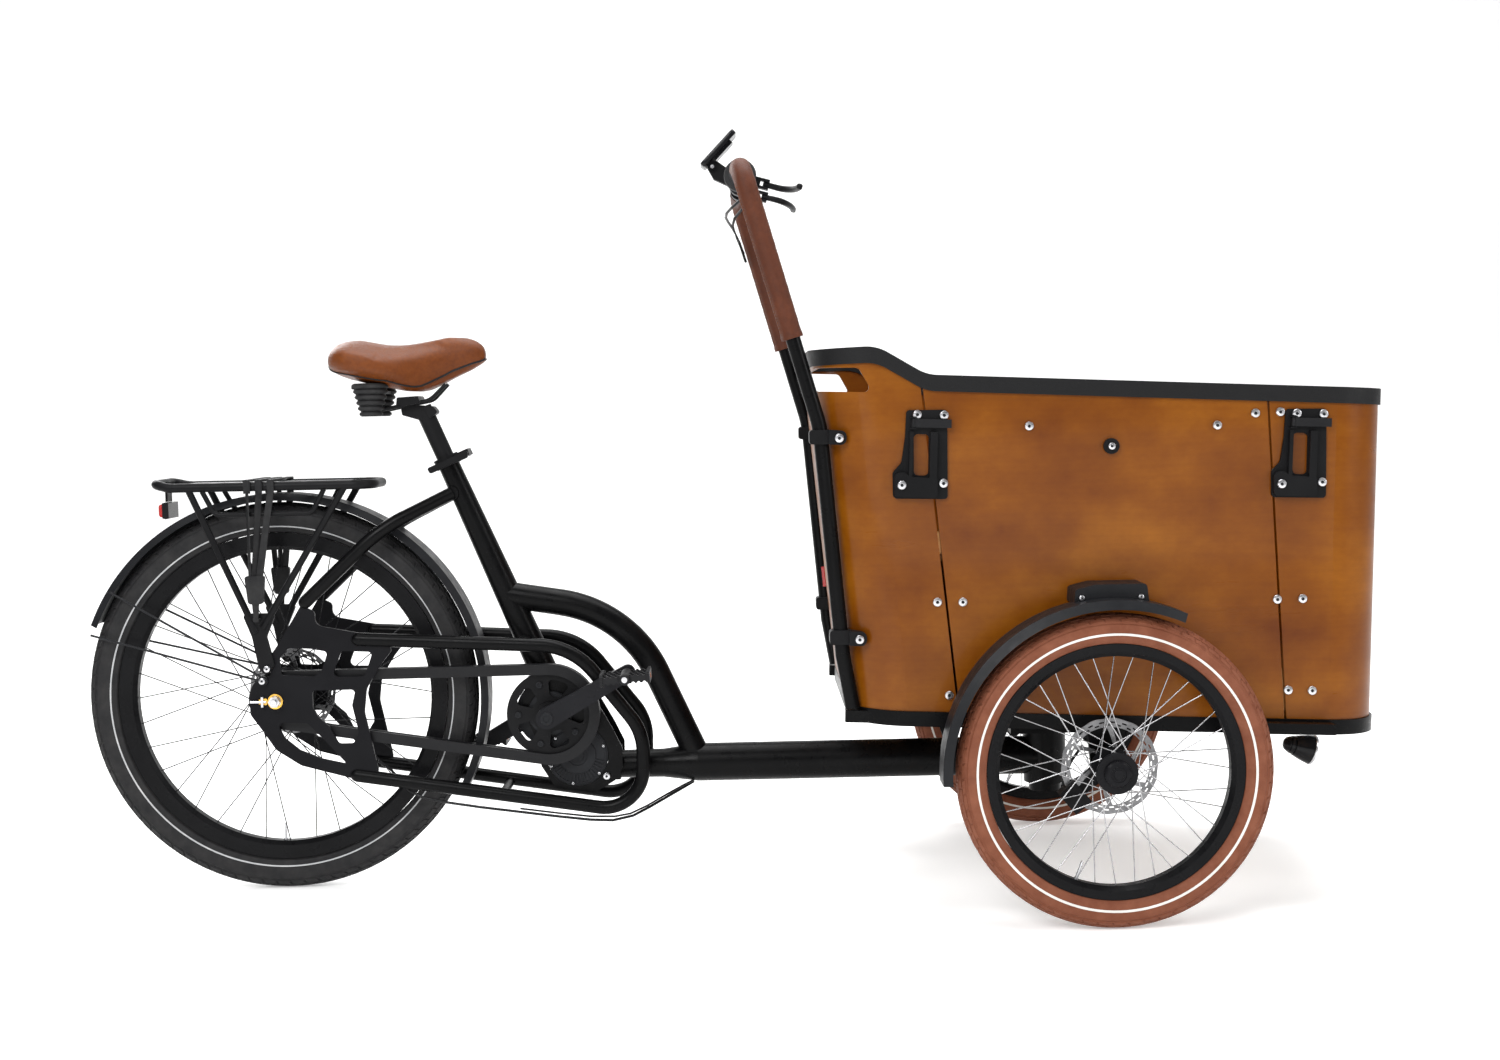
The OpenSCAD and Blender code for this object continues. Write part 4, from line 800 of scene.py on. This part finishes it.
lamp = {"place": (1838, 0, 221), "axis": (math.cos(math.radians(16)), 0, -math.sin(math.radians(16)))}
lampBody = Builder()
lampBody.lathe(at(*lamp["place"]), lamp["axis"], [(0.6, -14.8), (6.5, -13.8), (11.2, -10.5), (14.2, -5),
                                                  (13.4, -4.2), (13.4, -2.4), (15.8, -1.8), (16.8, 3),
                                                  (15.6, 3.8), (15.6, 5.6), (18.4, 6.2), (21.5, 16),
                                                  (24.8, 27), (26.8, 36), (27, 38.5), (24, 38.5)], 0, 40)
lampBody.lathe(at(*lamp["place"]), lamp["axis"], [(26.8, 37.6), (27.9, 38.4), (27.9, 41.2), (26.6, 42.4),
                                                  (24.8, 41.8), (24.6, 37.6)], 1, 40, True)
lampBody.lathe(at(*lamp["place"]), lamp["axis"], [(24.9, 38.6), (24.9, 40.4), (21, 41.8), (14, 42.8),
                                                  (7, 43.3), (0.5, 43.4)], 2, 40)
stem = [at(1861, -6, 240), at(1871, -6, 240), at(1870, -6, 262), at(1873, -6, 284), at(1859, -6, 284),
        at(1862, -6, 262)]
lampBody.prism(stem, (0, 1, 0), 0, 0.012, 1)
lampBody.lathe(at(1866, -8, 252), (0, 1, 0),
               [(0.5, 0), (3.6, 0.4), (3.8, 2), (3.8, 14), (3.6, 15.6), (0.5, 16)], 1, 16)
piece = lampBody.piece("headlamp_unit", [look["gloss"], look["silver"], look["clearLens"]],
                       "front_assembly", "lamp_black", 35)
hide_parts("headlamp")


def plateOn(builder, centre, wide, tall, normal, up, thick, mat, r=0.005):
    normal, up = Vector(normal).normalized(), Vector(up).normalized()
    side = up.cross(normal)
    flat = roundedCorners(-wide / 2, wide / 2, -tall / 2, tall / 2, r, 4)
    builder.prism([centre + side * x + up * y for x, y in flat], normal, 0, thick, mat)


frontReflector = {"place": (516.4, 0, 112), "wide": 0.07, "tall": 0.03, "thick": 0.004}
reflectors = Builder()
plateOn(reflectors, boxAt(*frontReflector["place"]), frontReflector["wide"], frontReflector["tall"],
        (1, 0, 0), (0, 0, 1), frontReflector["thick"], 0)
reflectors.piece("front_reflector", [look["clearLens"]], "front_assembly", "lamp_black")
tubeDir = (at(972, 0, 825) - at(1004, 0, 440)).normalized()
reflector = Builder()
reflector.lathe(at(1002.2, 274, 505), tubeDir, [(12.6, 0), (13.6, 0.6), (13.6, 39.4), (12.6, 40)], 0, 32,
                True)
reflector.piece("bar_reflector", [look["redLens"]], "front_assembly", "tail_red")
pedal = {"places": {-1: (631.0, 394.7), 1: (341.0, 237.3)}, "tilt": math.radians(4), "half": 43.6,
         "tall": 7.6, "teeth": 9, "tooth": 2.6, "plates": (117.4, 151.4, 181.4), "plateThick": 0.005,
         "inner": 111.4, "outer": 192.2, "bar": {"x": 38.6, "y": (115.6, 188.4), "half": 10.4, "teeth": 7,
                                                 "tooth": 3, "thick": 0.0048},
         "marker": {"x": 43.3, "thick": 0.0006, "outline": ((146, -4), (158, -4), (158, 4), (146, 4))}}


def pedalPoint(s, x, y, z):
    c, n = math.cos(pedal["tilt"]), math.sin(pedal["tilt"])
    px, pz = pedal["places"][s]
    return at(px + x * c - z * n, s * y, pz + x * n + z * c)


def toothed(start, end, low, high, count, depth):  # closed outline with teeth on both long edges
    step = (end - start) / count
    edge = []
    for k in range(count):
        a = start + k * step
        edge += [(a + 0.12 * step, high - depth), (a + 0.3 * step, high), (a + 0.62 * step, high),
                 (a + 0.82 * step, high - depth)]
    return [(start, high - depth)] + edge + [(end, high - depth), (end, low + depth)] + \
        [(u, low + high - v) for u, v in reversed(edge)] + [(start, low + depth)]


for s in (-1, 1):
    cage = Builder()
    cage.lathe(pedalPoint(s, 0, pedal["inner"], 0), (0, s, 0),
               [(7.2, 0), (8.8, 0.6), (8.8, 4), (10.2, 6), (10.2, 34), (9.4, 37), (9.4, 62), (10.2, 66),
                (10.2, 78), (8.6, 80.8), (0.4, 81)], 0, 32)
    for y in pedal["plates"]:
        outline = toothed(-pedal["half"], pedal["half"], -pedal["tall"], pedal["tall"], pedal["teeth"],
                          pedal["tooth"])
        cage.prism([pedalPoint(s, x, y, z) for x, z in outline], (0, s, 0), 0, pedal["plateThick"], 0)
    rail, marker = pedal["bar"], pedal["marker"]
    long = pedalPoint(s, 1, 0, 0) - pedalPoint(s, 0, 0, 0)
    for face in (-1, 1):
        out = long.normalized() * face
        outline = toothed(*rail["y"], -rail["half"], rail["half"], rail["teeth"], rail["tooth"])
        cage.prism([pedalPoint(s, face * rail["x"], y, z) for y, z in outline], out, 0, rail["thick"], 0)
        plate = [pedalPoint(s, face * marker["x"], y, z) for y, z in marker["outline"]]
        cage.prism(plate, out, 0, marker["thick"], 1)
    cage.lathe(pedalPoint(s, 0, pedal["outer"], 0), (0, s, 0), [(5, 0), (5, 0.5), (0.4, 0.6)], 2, 20)
    cageMats = [look["casePlastic"], look["orangeLens"], look["silver"]]
    piece = cage.piece("pedal_cage_" + sideName[s], cageMats, "pedal_" + sideName[s], "case_plastic", 35)
    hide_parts("pedal_" + sideName[s])

tailLamp = {"x": (-208.6, -190.4), "z": (680.4, 710.6), "half": 0.0296,
            "lenses": ((-0.0275, -0.0098), (-0.009, 0.009), (0.0098, 0.0275))}
tail = Builder()
x0, x1 = tailLamp["x"]
z0, z1 = tailLamp["z"]
body = [(-196, z0), (x1, z0 + 1), (x1, z1 - 1), (-196, z1), (-202, z1 - 1.5), (-202, z0 + 1.5)]
tail.prism([at(x, 0, z) for x, z in body], (0, 1, 0), -tailLamp["half"], tailLamp["half"], 0)
lens = [(-201.6, z0 + 3.4), (-201.6, z1 - 3.4), (-206.4, z1 - 4), (x0, z1 - 7.4), (x0, z0 + 7.4),
        (-206.4, z0 + 4)]
for y0, y1 in tailLamp["lenses"]:
    tail.prism([at(x, 0, z) for x, z in lens], (0, 1, 0), y0, y1, 1)
piece = tail.piece("tail_lamp", [look["gloss"], look["redLens"]], "frame", "tail_red", 35)
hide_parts("tail_light")
print("lamp and reflectors ready")


# screws and bolts

def addScrew(builder, place, axis, r, mat=0, darkMat=1):
    k = r / 0.0072
    head = [(7.2, 0), (7.3, 3.1), (6.6, 4), (4.5, 4.6), (3.1, 4.7), (3, 3.6)]
    builder.lathe(place, axis, [(a * k, h) for a, h in head] + [(0.4, 3.5)], mat, 24)
    socket = [(2.9 * k, 0), (2.9 * k, 0.4), (0.4, 0.5)]
    builder.lathe(place + Vector(axis) * 0.0033, axis, socket, darkMat, 6)


panelScrews = [(-91, 502), (219, 510), (281, 531), (322, 534), (-234, 208), (-192, 209), (329, 224),
               (371, 226), (353, 73), (393, 73), (-210, 53)]
bracketPlaces = [(-266, 381), (358, 396)]
bracketScrews = [(-10, 136, 5), (34, 136, 5), (36, 24, 5), (-33, 20, 14)]
boxScrews = Builder()
for s in (-1, 1):
    for x, z in panelScrews:
        addScrew(boxScrews, boxAt(x, s * 310, z), (0, s, 0), 0.0073)
    addScrew(boxScrews, boxAt(45, s * 317, 472), (0, s, 0), 0.006)
    for bx, bz in bracketPlaces:
        for x, z, lift in bracketScrews:
            addScrew(boxScrews, boxAt(bx + x, s * (310 + lift), bz + z), (0, s, 0), 0.0073)
    for x, z in ((1003, 805), (1031, 470)):
        addScrew(boxScrews, at(x, s * 302, z), (0, s, 0), 0.0073)
boxScrews.piece("box_screws", [look["silver"], look["castGrey"]], "front_assembly", "silver", 35)

frameBolts = Builder()
for s in (-1, 1):
    addScrew(frameBolts, at(-10, s * 85, 413), (0, s, 0), 0.0058)
    addScrew(frameBolts, at(-20, s * 83, 391), (0, s, 0), 0.0058)
    addScrew(frameBolts, at(585, s * 42, 199), (0, s, 0), 0.0062)
    frameBolts.lathe(at(0, s * 76, 353), (0, s, 0), [(10.4, 0), (13.6, 0), (13.6, 1.2), (10.4, 1.3)], 2, 36,
                     True)
    tab = [at(-16, s * 76, 347), at(-29, s * 76, 349), at(-29, s * 76, 357), at(-16, s * 76, 359),
           at(-12, s * 76, 353)]
    frameBolts.prism(tab, (0, s, 0), 0, 0.0013, 2)
frameBolts.piece("frame_bolts", [look["silver"], look["castGrey"], look["gold"]], "frame", "silver", 35)

crankCentre = (486, 316)
boltRing = {"radius": 56, "count": 5, "from": 36, "y": -56}
caps = Builder()
for s, centre in pedal["places"].items():
    caps.lathe(at(crankCentre[0], s * 106, crankCentre[1]), (0, s, 0),
               [(11.8, 0), (11.8, 1.4), (10.5, 2.6), (6.2, 3), (6, 1.8), (0.4, 1.6)], 1, 32)
    caps.lathe(at(centre[0], s * 91.6, centre[1]), (0, -s, 0),
               [(7.5, 0), (7.5, 1.2), (5.8, 2), (3.6, 2), (3.4, 0.8), (0.4, 0.8)], 1, 24)
for k in range(boltRing["count"]):
    a = math.radians(boltRing["from"] + 360 / boltRing["count"] * k)
    caps.lathe(at(crankCentre[0] + boltRing["radius"] * math.cos(a), boltRing["y"],
                  crankCentre[1] + boltRing["radius"] * math.sin(a)), (0, -1, 0),
               [(5.7, -0.4), (5.7, 0.8), (4.8, 1.4), (2.8, 1.4), (2.6, 0.4), (0.4, 0.4)], 1, 20)
caps.piece("crank_caps", [look["silver"], look["castGrey"]], "crank", "silver", 35)
print("screws ready")


# motor

motor = {"centre": (533, 237), "fins": 17, "finFrom": -150, "finTo": -14, "inner": 33, "outer": 50,
         "finHalf": 0.0011, "finDepth": 0.0034, "face": -38.6, "finFace": -39.2, "boltFace": -41,
         "bolts": 6, "boltRing": 50.6, "boltFrom": 20, "boltHead": 0.0026}
cover = Builder()
cover.lathe(at(motor["centre"][0], motor["face"], motor["centre"][1]), (0, -1, 0),
            [(53.5, 0), (53.5, 1.2), (51.5, 2.6), (49.5, 2.8), (48.5, 1.6), (34, 1.4), (33, 3.2), (30, 4.2),
             (18, 4.4), (17, 3.4), (12, 3.4), (11, 4.6), (0.6, 4.8)], 0, 64)
for k in range(motor["fins"]):
    a = math.radians(motor["finFrom"] + (motor["finTo"] - motor["finFrom"]) * k / (motor["fins"] - 1))
    d = Vector((math.cos(a), 0, math.sin(a)))
    w = Vector((-math.sin(a), 0, math.cos(a))) * motor["finHalf"]
    base = at(motor["centre"][0], motor["finFace"], motor["centre"][1])
    inner, outer = base + d * motor["inner"] / 1000, base + d * motor["outer"] / 1000
    cover.prism([inner - w, outer - w, outer + w, inner + w], (0, -1, 0), 0, motor["finDepth"], 0)
for k in range(motor["bolts"]):
    a = math.radians(motor["boltFrom"] + 360 / motor["bolts"] * k)
    x, z = motor["centre"]
    bolt = at(x + motor["boltRing"] * math.cos(a), motor["boltFace"], z + motor["boltRing"] * math.sin(a))
    addScrew(cover, bolt, (0, -1, 0), motor["boltHead"], 1, 0)
cover.piece("motor_cover", [look["castGrey"], look["silver"]], "frame", "motor_grey", 30)

ring = Builder()
ring.lathe(at(crankCentre[0], -42.6, crankCentre[1]), (0, -1, 0),
           [(38.5, 0), (38.5, 1), (36.5, 2), (28, 2.2), (27, 1), (20.5, 1), (20.2, -1)], 0, 48, True)
ring.piece("crank_bearing_ring", [look["castGrey"]], "frame", "motor_grey", 30)
print("motor ready")


# hubs, brake discs and valves

def brakeDisc(builder, centre, y, mat):
    radii = [0.0650, 0.0672, 0.0698, 0.0716, 0.0742, 0.0762, 0.0796]
    columns = 168
    kept = set()
    for row in range(len(radii) - 1):
        for column in range(columns):
            phase = (column + 2 * row) % 7
            if row in (1, 3) and phase in (1, 2, 3):
                continue
            kept.add((row, column))
    verts, faces, index = [], [], {}

    def vert(row, column, side):
        key = (row, column % columns, side)
        if key not in index:
            a = 2 * math.pi * (column + 0.35 * row) / columns
            r = radii[row] + (0.0006 * math.sin(14 * a) if row == len(radii) - 1 else 0)
            index[key] = len(verts)
            verts.append(centre + Vector((r * math.cos(a), y + side * 0.001, r * math.sin(a))))
        return index[key]

    for row, column in kept:
        a, b, c, d = (row, column), (row + 1, column), (row + 1, column + 1), (row, column + 1)
        for side in (-1, 1):
            quad = [vert(*p, side) for p in (a, b, c, d)]
            faces.append(tuple(quad if side > 0 else reversed(quad)))
        for other, p, q in (((row - 1, column), d, a), ((row + 1, column), b, c),
                            ((row, (column - 1) % columns), a, b), ((row, (column + 1) % columns), c, d)):
            if other not in kept:
                faces.append((vert(*p, -1), vert(*q, -1), vert(*q, 1), vert(*p, 1)))
    builder.add(verts, faces, mat)
    for k in range(6):
        outline = []
        for r, swing in ((0.021, 0), (0.034, 8), (0.048, 18), (0.0655, 26)):
            a = math.radians(60 * k + swing)
            outline.append(centre + Vector((r * math.cos(a), y, r * math.sin(a))))
        back = []
        for r, swing in ((0.0655, 34), (0.048, 27), (0.034, 19), (0.021, 16)):
            a = math.radians(60 * k + swing)
            back.append(centre + Vector((r * math.cos(a), y, r * math.sin(a))))
        builder.prism(outline + back, (0, 1, 0), -0.0008, 0.0008, mat)


frontProfile = [(0.5, 38), (8, 37.9), (8.6, 36.6), (12, 36.4), (12.6, 37.6), (18.5, 36.6), (21.5, 34),
                (22, 29), (20.6, 26.6), (33, 26), (34, 25), (34, 23.2), (33, 22.2), (22.5, 21.6),
                (18.8, 12), (17.8, 0), (18.8, -12), (22.5, -21.6), (33, -22.2), (34, -23.2), (34, -25),
                (33, -26), (20, -26.6), (18, -30), (18, -37.2), (24.5, -37.6), (24.5, -40.4), (17.2, -40.6),
                (17.2, -41.8), (10.4, -42)]
for s in (-1, 1):
    hub = Builder()
    hub.lathe(frontAxle[s], (0, s, 0), frontProfile, 0, 48)
    brakeDisc(hub, frontAxle[s], -s * 0.039, 1)
    for k in range(6):
        a = math.radians(60 * k + 10)
        hub.lathe(frontAxle[s] + Vector((0.021 * math.cos(a), -s * 0.0403, 0.021 * math.sin(a))),
                  (0, -s, 0), [(2.8, 0), (2.8, 1), (0.4, 1.6)], 2, 12)
    hubMats = [look["hubBlack"], look["rotorSteel"], look["silver"]]
    piece = hub.piece("front_hub_body_" + sideName[s], hubMats, "front_wheel_" + sideName[s], "hub_grey", 30)
    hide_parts("front_hub_" + sideName[s])

rearProfile = [(6.2, 57.5), (15, 57.5), (15, 57.2), (24.5, 57.2), (24.5, 54.8), (20, 54.6), (20, 40),
               (22.5, 34.5), (30, 33), (47, 32.8), (48, 31.8), (48, 29.8), (46.8, 28.8), (44.8, 28),
               (44, 20), (43, 19.2), (43, 17.2), (44, 16.4), (44, -16.4), (43, -17.2), (43, -19.2),
               (44, -20), (44.8, -28), (46.8, -28.8), (48, -29.8), (48, -31.8), (47, -32.8), (6.2, -33)]
hub = Builder()
hub.lathe(rearAxle, (0, 1, 0), rearProfile, 0, 56)
brakeDisc(hub, rearAxle, 0.056, 1)
piece = hub.piece("rear_hub_body", [look["hubBlack"], look["rotorSteel"]], "rear_wheel", "hub_grey", 30)
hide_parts("rear_hub")


def addValve(name, centre, r, angle, body):
    d = Vector((math.cos(angle), 0, math.sin(angle)))
    valve = Builder()
    valve.lathe(centre + d * r, -d, [(3.8, -1), (3.8, 2.2), (2.8, 3), (2.8, 17), (2.2, 17.4), (2.2, 22),
                                     (2.6, 22.4), (2.6, 30), (1.2, 31.8), (0.4, 32)], 0, 16)
    valve.piece(name, [look["silver"]], body, "silver", 35)


addValve("rear_valve", rearAxle, 0.267, math.radians(-92), "rear_wheel")
for s in (-1, 1):
    addValve("front_valve_" + sideName[s], frontAxle[s], 0.188, math.radians(250),
             "front_wheel_" + sideName[s])
print("hubs ready")


# mudguard screws

pads = Builder()
for s in (-1, 1):
    for x, z in ((1386, 540), (1482, 540)):
        addScrew(pads, at(x, s * 382, z), (0, s, 0), 0.0046)
pads.piece("mudguard_screws", [look["silver"], look["grip"]], "front_assembly", "silver", 35)
print("mudguard screws ready")
